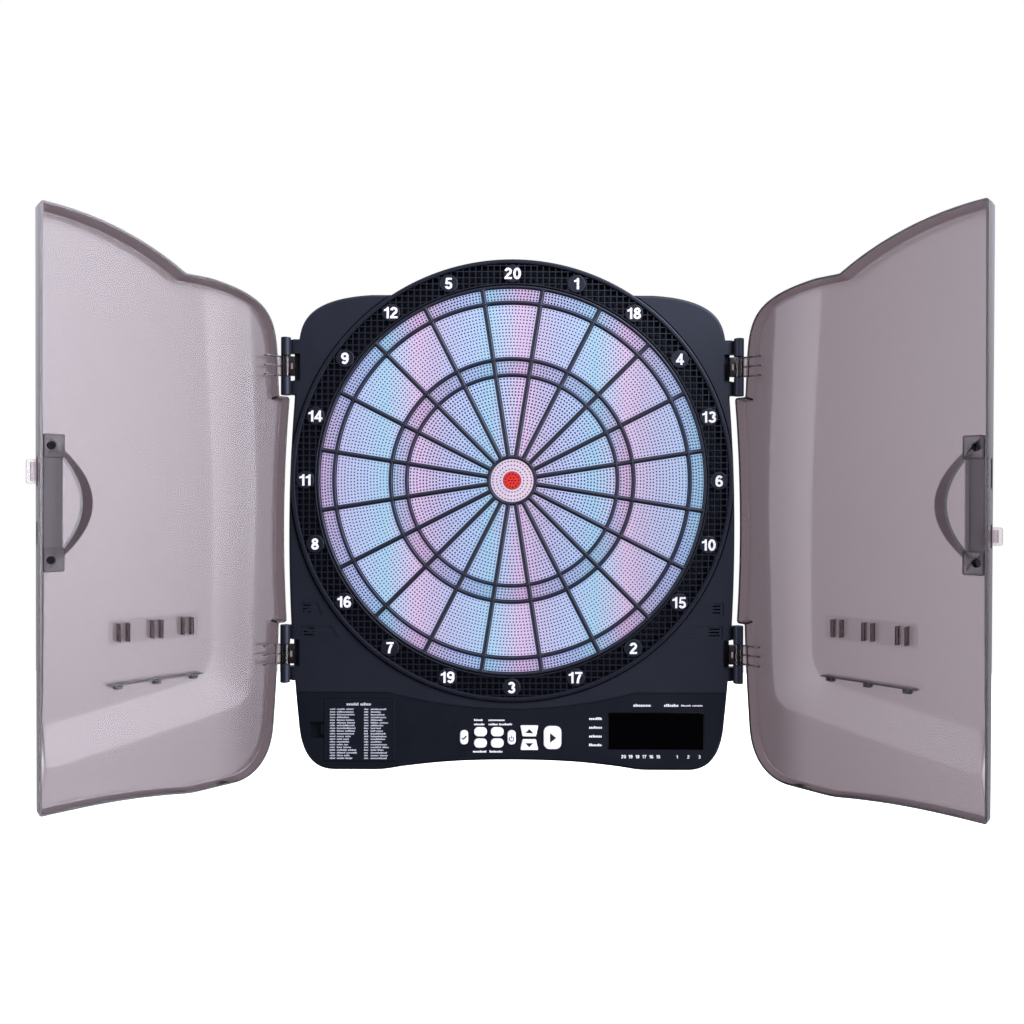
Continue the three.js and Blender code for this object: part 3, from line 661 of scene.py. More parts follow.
def casing_front():
    """The black front frame, with the socket of the number ring and the fixed parts of the hinges."""
    wide = RING_OUTER + 0.3
    floor = 39.6
    socket = lathe([(0.01, floor), (wide, floor), (wide, SHOULDER_DEPTH - 1.6),
                    (wide + 1.6, SHOULDER_DEPTH + 0.01), (wide + 1.6, 60), (0.01, 60)], 180)
    bed = lathe([(188, 37.1), (wide + CASING_WALL, 37.1), (wide + CASING_WALL, SHOULDER_DEPTH - 2.4),
                 (wide, SHOULDER_DEPTH - 2.4), (wide, floor), (200.8, floor), (200.8, 38.2),
                 (188, 38.2)], 180)
    core = plate(circle(2, 16), floor - 1, 60)  # the lathe leaves its own axis uncut
    solid = cut(casing_shell(), socket, core)
    solid = join(solid, common(bed, plate(OUTLINE, 10, 60)))
    solid = cut(solid, below_seam(-0.15), seam_groove(1.1, SHOULDER_DEPTH - 0.7))
    for side in (-1, 1):
        for middle in HINGE_Z:
            reach = DOOR_KNUCKLE / 2 + 0.3
            half = reach + BODY_KNUCKLE - 1
            ear = block(side * 216, side * EAR_X, middle - half, middle + half, 36,
                        SHOULDER_DEPTH - 0.05, 0.5)
            pocket = block(side * 218.2, side * (EAR_X + 1), middle - EAR_POCKET, middle + EAR_POCKET, 30, 60)
            floor_block = block(side * 216, side * 225, middle - half + 1, middle + half - 1, 36, 41)
            solid = join(cut(join(solid, ear), pocket), floor_block)
            for end in (-1, 1):
                z0, z1 = sorted((middle + end * reach, middle + end * (reach + BODY_KNUCKLE)))
                a0, a1 = sorted((middle + end * (reach + 3.5), middle + end * (half - 0.2)))
                arm = block(side * 220, side * HINGE_X, a0, a1, 38, 45.4, 0.5)
                knuckle = upright(KNUCKLE_RADIUS, 32, side * HINGE_X, -HINGE_DEPTH, z0, z1, 0.4)
                solid = join(solid, arm, knuckle)
            hole = upright(1.8, 16, side * HINGE_X, -HINGE_DEPTH, middle - 40, middle + 40)
            solid = cut(solid, hole)
        solid = cut(solid, *vent_tools(side))
    return solid


def panel_front():
    """The control panel below the seam, with its openings."""
    solid = common(casing_shell(), below_seam(0.15))
    x0, x1, z0, z1 = FLAP
    r0, _, s0, s1 = FINGER_RECESS
    pan = block(x0 - 2, x1 + 2.5, z0 - 2, z1 + 2, 36.4, SHOULDER_DEPTH - 1)
    cup = block(r0 - 2, x0, s0 - 2, s1 + 2, 38.5, SHOULDER_DEPTH - 1)
    solid = join(solid, pan, cup)
    x, z, width, height = WINDOW
    tools = [
        plate(pad((x0 + x1) / 2, (z0 + z1) / 2, x1 - x0 + 0.8, z1 - z0 + 0.8, 2.4), 38, 60),
        plate(pad((r0 + x0) / 2, (s0 + s1) / 2, x0 - r0 + 1, s1 - s0, 1.5), 40.5, 60),
        plate(pad(x, z, width + 0.8, height + 0.8, 2), 40, 60),
        seam_groove(1.1, SHOULDER_DEPTH - 0.7),
    ]
    tools += [plate(button_outline(button, 0.35), 40, 60) for button in BUTTONS]
    return cut(solid, *tools)


# ---- number ring ----

def lattice():
    """The square grid that catches darts, as one plate with square holes."""
    bar = 1.05
    count = int(RING_OUTER // LATTICE_PITCH) + 1
    lines = []
    for k in range(-count, count + 1):
        lines += [k * LATTICE_PITCH - bar / 2, k * LATTICE_PITCH + bar / 2]
    size = len(lines)
    kept = set()
    for i in range(size - 1):
        for j in range(size - 1):
            middle = math.hypot((lines[i] + lines[i + 1]) / 2, (lines[j] + lines[j + 1]) / 2)
            if RING_INNER - 8 < middle < RING_OUTER + 8 and (i % 2 == 0 or j % 2 == 0):
                kept.add((i, j))
    verts, faces, index = [], [], {}

    def corner(i, j, depth):
        key = (i, j, depth)
        if key not in index:
            index[key] = len(verts)
            verts.append((lines[i], -depth, lines[j]))
        return index[key]

    back, front = 45.4, 48.7
    for i, j in kept:
        ring = [(i, j), (i + 1, j), (i + 1, j + 1), (i, j + 1)]
        for depth in (back, front):
            faces.append(tuple(corner(a, b, depth) for a, b in ring))
        for k, (di, dj) in enumerate([(0, -1), (1, 0), (0, 1), (-1, 0)]):
            if (i + di, j + dj) not in kept:
                a, b = ring[k], ring[(k + 1) % 4]
                faces.append((corner(*a, back), corner(*b, back), corner(*b, front), corner(*a, front)))
    return verts, faces


def disc_places():
    for k, number in enumerate(NUMBERS):
        angle = math.pi / 2 - k * SECTOR_ANGLE
        yield number, DISC_AT * math.cos(angle), DISC_AT * math.sin(angle)


def number_ring():
    top = RING_DEPTH
    profile = [
        (RING_INNER, 39.9), (RING_OUTER, 39.9), (RING_OUTER, top - 1.3), (RING_OUTER - 0.4, top - 0.4),
        (RING_OUTER - 1.3, top), (RING_OUTER - 3.5, top), (RING_OUTER - 4.2, top - 0.3),
        (RING_OUTER - 4.6, top - 1),
        (RING_OUTER - 4.6, RING_FLOOR), (RING_INNER + 1.6, RING_FLOOR), (RING_INNER + 1.6, top - 0.9),
        (RING_INNER + 1.2, top - 0.5), (RING_INNER + 0.4, top - 0.5), (RING_INNER, top - 0.9),
    ]
    grid = common(lattice(), lathe([(RING_INNER + 0.8, 40), (RING_OUTER - 3, 40), (RING_OUTER - 3, 49.4),
                                    (RING_INNER + 0.8, 49.4)], 160))
    solid = join(lathe(profile, 200), grid)
    discs = together(*[plate(circle(DISC_RADIUS, 40, x, z), RING_FLOOR - 0.5, 49.6, 0.9, 0, 4)
                       for _, x, z in disc_places()])
    return join(solid, discs)


def stroke(points, width, back, front, closed=False):
    """A flat line of a width through (x, z) points, or a loop."""
    left, right = [], []
    count = len(points)
    for i, point in enumerate(points):
        before = points[i - 1] if closed or i else point
        after = points[(i + 1) % count] if closed or i < count - 1 else point
        along = (Vector(after) - Vector(before)).normalized()
        side = Vector((-along.y, along.x)) * width / 2
        left.append(tuple(Vector(point) + side))
        right.append(tuple(Vector(point) - side))
    if not closed:
        return plate(left + right[::-1], back, front)
    rows = [left, right, right, left]
    depths = [back, back, front, front]
    verts = [(x, -depth, z) for row, depth in zip(rows, depths) for x, z in row]
    faces = []
    for r in range(4):
        a, b = r * count, (r + 1) % 4 * count
        faces += skirt(range(a, a + count), range(b, b + count))
    return verts, faces


def curve(x, z, width, height, start, end, steps=18):
    """Part of an ellipse, its angles in degrees."""
    angles = [math.radians(start + (end - start) * i / steps) for i in range(steps + 1)]
    return [(x + width * math.cos(a), z + height * math.sin(a)) for a in angles]


def make_digits():
    """The ten figures as flat solids, 1 high: strokes of one width, and bars."""
    w = 0.21

    def line(points):
        return stroke(points, w, 0, 1)

    def bar(*corners):
        return plate(list(corners), 0, 1)

    def oval(x, z, width, height):
        return stroke(curve(x, z, width, height, 0, 360, 28)[:-1], w, 0, 1, True)

    six = [oval(0, 0.31, 0.235, 0.225), line(curve(0.02, 0.5, 0.255, 0.41, 188, 42))]
    parts = {
        "0": [oval(0, 0.5, 0.235, 0.41)],
        "1": [bar((0.02, 0), (0.22, 0), (0.22, 1), (0.06, 1), (-0.02, 0.87), (-0.22, 0.8), (-0.22, 0.64),
                  (0.02, 0.68))],
        "2": [line(curve(0, 0.69, 0.225, 0.215, 172, -38) + [(-0.04, 0.36), (-0.2, 0.13)]),
              bar((-0.33, 0), (0.33, 0), (0.33, 0.18), (-0.33, 0.18))],
        "3": [line(curve(-0.01, 0.72, 0.205, 0.185, 165, -86)),
              line(curve(-0.01, 0.29, 0.235, 0.2, 88, -165))],
        "4": [bar((0.04, 0), (0.23, 0), (0.23, 1), (0.04, 1)),
              bar((-0.36, 0.21), (0.36, 0.21), (0.36, 0.38), (-0.36, 0.38)),
              bar((-0.36, 0.33), (-0.18, 0.28), (0.2, 0.86), (0.08, 0.995))],
        "5": [bar((-0.23, 0.83), (0.29, 0.83), (0.29, 1), (-0.23, 1)),
              bar((-0.3, 0.44), (-0.12, 0.42), (-0.08, 0.95), (-0.23, 0.95)),
              line(curve(-0.01, 0.32, 0.235, 0.23, 140, -162))],
        "6": six,
        "7": [bar((-0.32, 0.83), (0.33, 0.83), (0.33, 1), (-0.32, 1)),
              line(bezier([(0.24, 0.86), (0.0, 0.6), (-0.07, 0.3), (-0.08, 0)], 10))],
        "8": [oval(0, 0.735, 0.19, 0.17), oval(0, 0.28, 0.235, 0.19)],
    }
    made = {text: join(*solids) for text, solids in parts.items()}
    turned = Matrix.Translation((0, 0, 1)) @ Matrix.Rotation(math.pi, 4, "Y")
    made["9"] = moved(made["6"], turned)
    return made


def letters(text, height, x, z, front, thick):
    """Figures as one flat solid, centred at a place."""
    solids = []
    widths = [0.54 if character == "1" else 0.79 for character in text]
    for i, character in enumerate(text):
        verts, faces = DIGITS[character]
        start = x + (sum(widths[:i]) + widths[i] / 2 - sum(widths) / 2) * height
        placed = [(start + vx * height, -front - vy * thick - thick, z + (vz - 0.5) * height)
                  for vx, vy, vz in verts]
        solids.append((placed, faces))
    return together(*solids)


# ---- target ----

def bar_profile(half, front, back, steps=5):
    """Half-width and depth of a bar with a round top, from one foot over to the other."""
    rise = 1.5
    turns = [math.pi * i / (2 * steps) for i in range(steps + 1)]
    tops = [(half * math.cos(a), front - rise + rise * math.sin(a)) for a in turns]
    return [(half, back)] + tops + [(-t, d) for t, d in tops[-2::-1]] + [(-half, back)]


def spider():
    """The black web that parts the segments: five rings and twenty bars with round tops."""
    rings = []
    for inner, outer in SPIDER_RINGS:
        middle, half = (inner + outer) / 2, (outer - inner) / 2
        rings.append(lathe([(middle + t, d) for t, d in bar_profile(half, SPIDER_FRONT, SPIDER_BACK)], 160))
    start = sum(SPIDER_RINGS[0]) / 2
    end = sum(SPIDER_RINGS[-1]) / 2
    profile = bar_profile(DIVIDER_WIDTH / 2, SPIDER_FRONT - 0.1, SPIDER_BACK)
    count = len(profile)
    bars = []
    for k in range(SECTOR_COUNT):
        angle = math.pi / 2 - SECTOR_ANGLE * (k + 0.5)
        c, s = math.cos(angle), math.sin(angle)
        verts = [(r * c - t * s, -d, r * s + t * c) for r in (start, end) for t, d in profile]
        bars.append((verts, prism_faces(count)))
    return join(together(*rings), together(*bars))


def perforated(outline, holes, back, front, hole_floor):
    """A plate with blind round holes: outline and holes are closed lines of points."""
    chamfer = 0.35
    top = inset(outline, chamfer)
    flat = list(top)
    edges = [(i, (i + 1) % len(top)) for i in range(len(top))]
    for hole in holes:
        start = len(flat)
        flat += hole
        edges += [(start + i, start + (i + 1) % len(hole)) for i in range(len(hole))]
    points, _, triangles, origins, _, _ = delaunay_2d_cdt([Vector(p) for p in flat], edges, [], 1, 1e-5)
    where, holes_at = {}, {}
    for made, sources in enumerate(origins):
        for source in sources:
            where[source] = made
            holes_at[made] = (source - len(top)) // len(holes[0]) if source >= len(top) else -1 - source
    verts = [(p.x, -front, p.y) for p in points]
    faces = [tuple(t) for t in triangles if len({holes_at[i] for i in t}) > 1]
    rings = [[where[i] for i in range(len(top))]]
    for points_2d, depth in [(outline, front - chamfer), (outline, back)]:
        start = len(verts)
        verts += [(x, -depth, z) for x, z in points_2d]
        rings.append(list(range(start, start + len(points_2d))))
    for high, low in zip(rings, rings[1:]):
        faces += skirt(high, low)
    faces.append(tuple(rings[-1]))
    at = len(top)
    for hole in holes:
        count = len(hole)
        start = len(verts)
        verts += [(x, -hole_floor, z) for x, z in hole]
        low = list(range(start, start + count))
        high = [where[at + i] for i in range(count)]
        faces += skirt(high, low)
        faces.append(tuple(low))
        at += count
    return verts, faces


def segment_outline(inner, outer):
    """One ring segment of the top sector, with round corners, counterclockwise."""
    clear = DIVIDER_WIDTH / 2 + 0.35
    arcs = []
    for radius in (outer, inner):
        half = SECTOR_ANGLE / 2 - math.asin(clear / radius)
        steps = max(3, int(radius * half / 2.2))
        arcs.append(arc(0, 0, radius, math.pi / 2 - half, math.pi / 2 + half, steps))
    line = arcs[0] + arcs[1][::-1]
    made = []
    marks = {0, len(arcs[0]) - 1, len(arcs[0]), len(line) - 1}
    for i, point in enumerate(line):
        if i in marks:
            made += round_corner(line[i - 1], point, line[(i + 1) % len(line)], 0.9, 3)
        else:
            made.append(point)
    return counterclockwise(made)


def hole_rows(inner, outer, rows, size):
    """Dart holes of a segment: rows on arcs, as many to a row as its width takes."""
    margin = (outer - inner) / rows / 2
    clear = DIVIDER_WIDTH / 2 + 0.35 + 0.3
    holes = []
    for row in range(rows):
        radius = inner + margin + (outer - inner - 2 * margin) * row / max(rows - 1, 1)
        half = SECTOR_ANGLE / 2 - math.asin(clear / radius)
        count = max(1, round(2 * half * radius / HOLE_PITCH))
        for i in range(count):
            angle = math.pi / 2 + half * ((2 * i + 1) / count - 1)
            holes.append(circle(size, 8, radius * math.cos(angle), radius * math.sin(angle), angle))
    return holes


def sector_parts():
    """The top sector's wide segments and its narrow ones, made once and turned into place."""
    wide, narrow = [], []
    for k, rows in enumerate([24, 4, 16, 4]):
        inner = SPIDER_RINGS[k][1] + SEGMENT_GAP
        outer = SPIDER_RINGS[k + 1][0] - SEGMENT_GAP
        size = HOLE_RADIUS if k == 2 else INNER_HOLE_RADIUS
        made = perforated(segment_outline(inner, outer), hole_rows(inner, outer, rows, size),
                          SEGMENT_BACK, SEGMENT_FRONT, HOLE_FLOOR)
        (narrow if rows == 4 else wide).append(made)
    web = plate([(-1.6, 28), (-9, 194), (9, 194), (1.6, 28)], 41.2, SEGMENT_BACK - 0.1, 0, 0.3)
    return together(*wide, web), together(*narrow)


def perforated_ring(inner, outer, rings):
    """A bull: a disc, or a ring when inner is above 0, with rings of dart holes."""
    holes = []
    for radius in rings:
        count = max(1, round(2 * math.pi * radius / 3.2))
        for i in range(count):
            angle = 2 * math.pi * i / count
            holes.append(circle(HOLE_RADIUS, 8, radius * math.cos(angle), radius * math.sin(angle), angle))
    solid = perforated(circle(outer, 64), holes, 41.2, SEGMENT_FRONT, HOLE_FLOOR)
    if inner:
        solid = cut(solid, plate(circle(inner, 48), 30, 60))
    return solid


def build_target():
    piece("spider_web", spider(), "housing", "ring_black", MATERIALS["spider"], ["spider"], sharp=50)
    wide, narrow = sector_parts()
    for k, number in enumerate(NUMBERS):
        turn = Matrix.Rotation(k * SECTOR_ANGLE, 4, "Y")
        node = f"sector_{number:02d}"
        for part, solid, material in (("singles", wide, "segment"), ("rings", narrow, "segment_narrow")):
            piece(f"{node}_{part}", solid, f"{node}_body", "segment_plastic", MATERIALS[material], [node],
                  turn, weighted=False)
    outer = perforated_ring(BULL_RADIUS + 0.5, 22.1, [12.0, 15.9, 19.8])
    inner = perforated_ring(0, BULL_RADIUS, [0.01, 3.3, 6.7])
    piece("outer_bull_ring", outer, "outer_bull_body", "segment_plastic", MATERIALS["outer_bull"],
          ["outer_bull"])
    piece("inner_bull_disc", inner, "inner_bull_body", "bull_red", MATERIALS["bull_red"], ["inner_bull"])


# ---- control panel details ----

BUTTONS = [
    {"name": "enter_button", "x": -48.6, "z": -263.9, "width": 8.3, "height": 14.4, "radius": 3.6},
    {"name": "pill_button_1", "x": -31.8, "z": -258.2, "width": 13.1, "height": 9.3, "radius": 4.2},
    {"name": "pill_button_2", "x": -14.6, "z": -258.2, "width": 13.1, "height": 9.3, "radius": 4.2},
    {"name": "pill_button_3", "x": -31.8, "z": -269.8, "width": 13.1, "height": 9.3, "radius": 4.2},
    {"name": "pill_button_4", "x": -14.6, "z": -269.8, "width": 13.1, "height": 9.3, "radius": 4.2},
    {"name": "power_button", "x": 0.2, "z": -263.9, "width": 8.3, "height": 14.4, "radius": 3.6},
    {"name": "up_button", "x": 18.3, "z": -257.2, "width": 18.6, "height": 11.2, "taper": -2.4},
    {"name": "down_button", "x": 18.3, "z": -271.3, "width": 18.6, "height": 11, "taper": 2.4},
    {"name": "play_button", "x": 42.2, "z": -264, "width": 18.1, "height": 23.6, "radius": 6},
]


def button_outline(button, grow):
    """A button's outline, grown by a distance: a round-cornered pad, or a wedge with rounded corners."""
    x, z = button["x"], button["z"]
    if "taper" not in button:
        return pad(x, z, button["width"] + 2 * grow, button["height"] + 2 * grow, button["radius"] + grow)
    low = button["width"] / 2 - max(-button["taper"], 0) + grow
    high = button["width"] / 2 - max(button["taper"], 0) + grow
    half = button["height"] / 2 + grow
    corners = [(x - low, z - half), (x + low, z - half), (x + high, z + half), (x - high, z + half)]
    made = []
    for i, corner in enumerate(corners):
        made += round_corner(corners[i - 1], corner, corners[(i + 1) % 4], 1.0 + grow, 4)
    return made


def button_mark(button):
    """The sign printed on a button, or None."""
    x, z, name = button["x"], button["z"], button["name"]
    low, high = BUTTON_FRONT - 0.1, BUTTON_FRONT + 0.06
    if name == "enter_button":
        return stroke([(x - 2.4, z - 0.1), (x - 0.8, z - 1.7), (x + 2.5, z + 1.9)], 1.5, low, high)
    if name == "power_button":
        ring = arc(x, z - 1.2, 2.3, math.radians(125), math.radians(415), 20)
        return together(stroke(ring, 0.85, low, high), block(x - 0.42, x + 0.42, z - 0.8, z + 2.2, low, high))
    if name == "up_button":
        return plate([(x - 4, z - 1.9), (x + 4, z - 1.9), (x, z + 2.3)], low, high)
    if name == "down_button":
        return plate([(x - 4, z + 1.9), (x, z - 2.3), (x + 4, z + 1.9)], low, high)
    if name == "play_button":
        return plate([(x - 2.6, z - 5), (x + 3.8, z), (x - 2.6, z + 5)], low, high)
    return None


def build_buttons():
    for button in BUTTONS:
        name = button["name"]
        cap = plate(button_outline(button, 0), BUTTON_FLANGE - 0.2, BUTTON_FRONT, 1.0, 0, 5)
        flange = plate(button_outline(button, 0.9), BUTTON_BACK, BUTTON_FLANGE, 0.2)
        body = f"{name}_body"
        piece(f"{name}_cap", join(cap, flange), body, "button_white", MATERIALS["button"], [name])
        mark = button_mark(button)
        if mark:
            piece(f"{name}_mark", mark, body, "casing_black", MATERIALS["mark"])


def word_bars(x0, x1, z, height, words, rng, front):
    """A line of print too small to read: one bar a word, each a row of letter strokes."""
    gap = height * 0.75
    widths = [rng.uniform(0.7, 1.3) for _ in range(words)]
    share = (x1 - x0 - gap * (words - 1)) / sum(widths)
    strokes = []
    x = x0
    for width in widths:
        end = x + width * share
        while x < end - 0.2:
            step = rng.uniform(0.62, 0.95) * height * 0.8
            stop = min(x + step * 0.74, end)
            tall = height * rng.choice([0.72, 0.72, 0.72, 1.0])
            strokes.append(block(x, stop, z - height / 2, z - height / 2 + tall, front - 0.05, front + 0.05))
            x += step
        x = end + gap
    return strokes


def build_flap():
    """The flap with the game list: a thin plate with a tongue for a finger and two columns of print."""
    x0, x1, z0, z1 = FLAP
    top = SHOULDER_DEPTH
    body = plate(pad((x0 + x1) / 2, (z0 + z1) / 2, x1 - x0, z1 - z0, 2.2), top - 2, top, 0.5, 0.2)
    middle = (FINGER_RECESS[2] + FINGER_RECESS[3]) / 2
    tongue = plate(pad(x0 - 1, middle, 5, 10, 1), top - 3.2, top - 1.2, 0.3, 0.3)
    piece("flap_plate", join(body, tongue), "flap", "casing_black", MATERIALS["panel"], ["game_list_flap"])
    rng = random.Random(7)
    strokes = word_bars(-169.5, -144.5, -230.2, 2.9, 2, rng, top)
    for row in range(19):
        z = -235.4 - row * 2.8
        strokes += word_bars(-186.6, -181.2, z, 1.6, 1, rng, top)
        strokes += word_bars(-179.4, -179.4 + rng.uniform(11, 21), z, 1.6, rng.choice([1, 2, 2]), rng, top)
        strokes += word_bars(-151.4, -147.2, z, 1.6, 1, rng, top)
        strokes += word_bars(-144.6, -144.6 + rng.uniform(8, 19), z, 1.6, rng.choice([1, 1, 2]), rng, top)
    piece("flap_print", together(*strokes), "flap", "button_white", MATERIALS["print_dim"], weighted=False)


def build_labels():
    """Plain marks where the panel has its small print: bars for words, and figures under the display."""
    rng = random.Random(11)
    top = SHOULDER_DEPTH
    strokes = []
    for x0, x1, z, height, words in [
        (-38.4, -29.4, -246.2, 2.0, 1), (-23.5, -6.8, -246.2, 2.0, 1),
        (-38.4, -27.8, -250.6, 2.0, 1), (-23.5, 0.6, -250.6, 2.0, 2),
        (-39.4, -25.4, -278.6, 2.2, 1), (-22.4, -8.8, -278.6, 2.2, 1),
        (125.4, 143.2, -230.8, 2.8, 1), (157, 172, -230.8, 2.8, 1), (174.5, 196.5, -231, 1.6, 2),
        *[(80, 93, z, 2.6, 1) for z in (-244.6, -253.6, -262.6, -271.6)],
    ]:
        strokes += word_bars(x0, x1, z, height, words, rng, top)
    piece("panel_print", together(*strokes), "housing", "button_white", MATERIALS["print"], weighted=False)
    figures = []
    for k, text in enumerate(["20", "19", "18", "17", "16", "15"]):
        figures.append(letters(text, 3.4, 115.5 + k * 7.1, -283.6, top - 0.05, 0.1))
    for k, text in enumerate(["1", "2", "3"]):
        figures.append(letters(text, 3.4, 170.5 + k * 11.5, -283.6, top - 0.05, 0.1))
    piece("panel_figures", together(*figures), "housing", "button_white", MATERIALS["print"], weighted=False)


def build_housing():
    piece("casing_front", casing_front(), "housing", "casing_black", MATERIALS["casing"], ["front_frame"])
    piece("panel_front", panel_front(), "housing", "casing_black", MATERIALS["panel"], ["control_panel"])
    piece("number_ring", number_ring(), "housing", "ring_black", MATERIALS["ring"], ["catch_ring"])
    numbers = together(*[letters(str(n), 11.5, x, z, 49.5, 0.15) for n, x, z in disc_places()])
    piece("ring_numbers", numbers, "housing", "button_white", MATERIALS["print"], weighted=False)
    x, z, width, height = WINDOW
    pane = plate(pad(x, z, width, height, 1.8), 44.5, SHOULDER_DEPTH + 0.1, 0.4)
    piece("display_pane", pane, "housing", "window_black", MATERIALS["window"], ["display_window"])
    screws = []
    for side in (-1, 1):
        for sx, sz in CASE_SCREWS:
            head = plate(circle(1.7, 24, side * sx, sz), 0.3, 2.6, 0, 0.4)
            cross = [block(side * sx - a, side * sx + a, sz - b, sz + b, 0, 0.9)
                     for a, b in ((1.1, 0.25), (0.25, 1.1))]
            screws.append(cut(head, *cross))
    piece("case_screws", together(*screws), "housing", "pin_steel", MATERIALS["steel"])
    build_buttons()
    build_flap()
    build_labels()


# ---- doors ----

SLOPE_FOOT = [(38, 260), (27, 0), (30, -128), (33, -208), (38, -221), (50, -228), (260, -258)]
SLOPE_TOP = [(84, 260), (70, 0), (70, -168), (73, -180), (80, -190), (92, -195), (260, -220)]
POCKET_Z = -24
POCKET_HALF = 51.5
POCKET_INNER_HALF = 41.5
POCKET_FLAT = 216
POCKET_BOW = 184.5
POCKET_INNER_BOW = 198
POCKET_FLOOR = 6.3
WING = {"low": -146, "high": 85.5, "low_x": 234.2, "middle_x": 226.3, "high_x": 237.1}
WALL_ROUND = 2.4


def door_side(points, steps):
    """The door's side with its wing, which stands out between the hinges."""
    side_high = 225
    points = points + bezier([points[-1], (side_high - 1, -190), (side_high, WING["low"])], steps)
    points.append((WING["low_x"], WING["low"]))
    control = (WING["middle_x"], (WING["low"] + WING["high"]) / 2)
    points += bezier([points[-1], control, (WING["high_x"], WING["high"])], 2 * steps)
    points.append((side_high, WING["high"]))
    return points + bezier([points[-1], (220.5, 153), (231.2, 183.1), (150, 191.9)], 2 * steps)


def door_outline():
    """(u, z) points and the radius of each hard corner, or 0 on a smooth stretch."""
    points = half_outline(-287.2, -298, 176, 219.5, 191.9, 229.8, door_side, 20)
    start = HINGE_X - FREE_EDGE
    points = [(start, -287.2)] + [p for p in points if p[0] > start + 7] + [(start, 229.8)]
    points = counterclockwise([(HINGE_X - x, z) for x, z in points])
    hard = {(FREE_EDGE, -287.2): 2.5, (FREE_EDGE, 229.8): 2.5}
    hard[HINGE_X - WING["low_x"], WING["low"]] = 3
    hard[HINGE_X - WING["high_x"], WING["high"]] = 3
    hard[HINGE_X - 225, WING["low"]] = 1.2
    hard[HINGE_X - 225, WING["high"]] = 1.2
    radii = []
    for point in points:
        near = [r for (u, z), r in hard.items() if math.hypot(point[0] - u, point[1] - z) < 0.5]
        radii.append(near[0] if near else 0)
    return points, radii


def door_ring(distance):
    """The door's outline moved inwards, its hard corners rounded."""
    points, radii = DOOR_OUTLINE
    moved_in = inset(points, distance)
    made = []
    for i, (point, radius) in enumerate(zip(moved_in, radii)):
        if not radius:
            made.append(point)
            continue
        before, after = moved_in[i - 1], moved_in[(i + 1) % len(moved_in)]
        turn = (point[0] - before[0]) * (after[1] - point[1]) - (point[1] - before[1]) * (after[0] - point[0])
        rounded = max(radius - distance, 0.4) if turn > 0 else 1.2
        made += round_corner(before, point, after, rounded, 4)
    return made


def smooth_line(points, steps):
    """A smooth line through points."""
    made = []
    ends = [points[0]] + list(points) + [points[-1]]
    for i in range(1, len(ends) - 2):
        p0, p1, p2, p3 = (Vector(p) for p in ends[i - 1:i + 3])
        a, b = (p1 - p0).length, (p2 - p1).length
        c = (p3 - p2).length
        m1 = (p2 - p1) if a < 1e-6 else (p2 - p0) * b / (a + b)
        m2 = (p2 - p1) if c < 1e-6 else (p3 - p1) * b / (b + c)
        for s in range(steps):
            t = s / steps
            made.append(tuple(
                p1 * (2 * t ** 3 - 3 * t ** 2 + 1) + m1 * (t ** 3 - 2 * t ** 2 + t)
                + p2 * (3 * t ** 2 - 2 * t ** 3) + m2 * (t ** 3 - t ** 2)))
    return made + [tuple(points[-1])]


DOOR_OUTLINE = door_outline()
FOOT_LINE = smooth_line(SLOPE_FOOT, 14)
TOP_LINE = smooth_line(SLOPE_TOP, 14)
EDGE_SHARE = 0.06  # the part of the step's slope that eases in, and out again
SLOPE_SPACING = 6
GRID_SPACING = 6.5
GRID_CLEAR = 2.2


def ramp_share(points):
    """0 on the shallow side of the panel's step, 1 on the deep side, with eased ends."""
    foot = FOOT_LINE + [(260, 260)]
    top = TOP_LINE + [(260, 260)]
    in_foot, in_top = inside(points, foot), inside(points, top)
    from_foot = distance_to(points, FOOT_LINE, False)
    from_top = distance_to(points, TOP_LINE, False)
    t = np.where(in_top, 1.0, np.where(in_foot, from_foot / (from_foot + from_top + 1e-9), 0.0))
    e = EDGE_SHARE
    low = t ** 2 / (2 * e * (1 - e))
    high = 1 - (1 - t) ** 2 / (2 * e * (1 - e))
    return np.where(t < e, low, np.where(t > 1 - e, high, (t - e / 2) / (1 - e)))


def panel_height(points):
    return BASE_OUT + (RAISED_OUT - BASE_OUT) * ramp_share(points)


def pocket_loop(bow, flat, half, grow=0.0):
    """The D of the finger pocket, counterclockwise, grown by a distance."""
    z0, z1 = POCKET_Z - half, POCKET_Z + half
    points = [(flat, z0)] + bezier([(flat, z0), (2 * bow - flat, POCKET_Z), (flat, z1)], 28)
    return inset(counterclockwise(points), -grow) if grow else counterclockwise(points)


def wall_thickness(points):
    """The panel's wall: thicker in the strip along the hinges."""
    u = np.array([p[0] for p in points])
    by_hinge = np.clip((72 - u) / 30, 0, 1)
    return DOOR_WALL + 0.75 * by_hinge * (1 - ramp_share(points))


def add_slope_lines(flat, edges, barriers, last_ring):
    """Adds lines of points along the panel's step, close together where its slope bends."""
    for share in (0.0, EDGE_SHARE / 2, EDGE_SHARE, 0.5, 1 - EDGE_SHARE, 1 - EDGE_SHARE / 2, 1.0):
        line = [tuple(Vector(a).lerp(Vector(b), share)) for a, b in zip(FOOT_LINE, TOP_LINE)]
        fine = []
        for a, b in zip(line, line[1:]):
            pieces_in = max(1, int((Vector(b) - Vector(a)).length / SLOPE_SPACING))
            fine += [tuple(Vector(a).lerp(Vector(b), i / pieces_in)) for i in range(pieces_in)]
        ok = inside(fine, last_ring) & (distance_to(fine, last_ring) > 1.0)
        run = None
        for point, good in zip(fine, ok):
            if good:
                flat.append(point)
                if run is not None:
                    edges.append((run, len(flat) - 1))
                run = len(flat) - 1
            else:
                run = None
        barriers.append(fine)


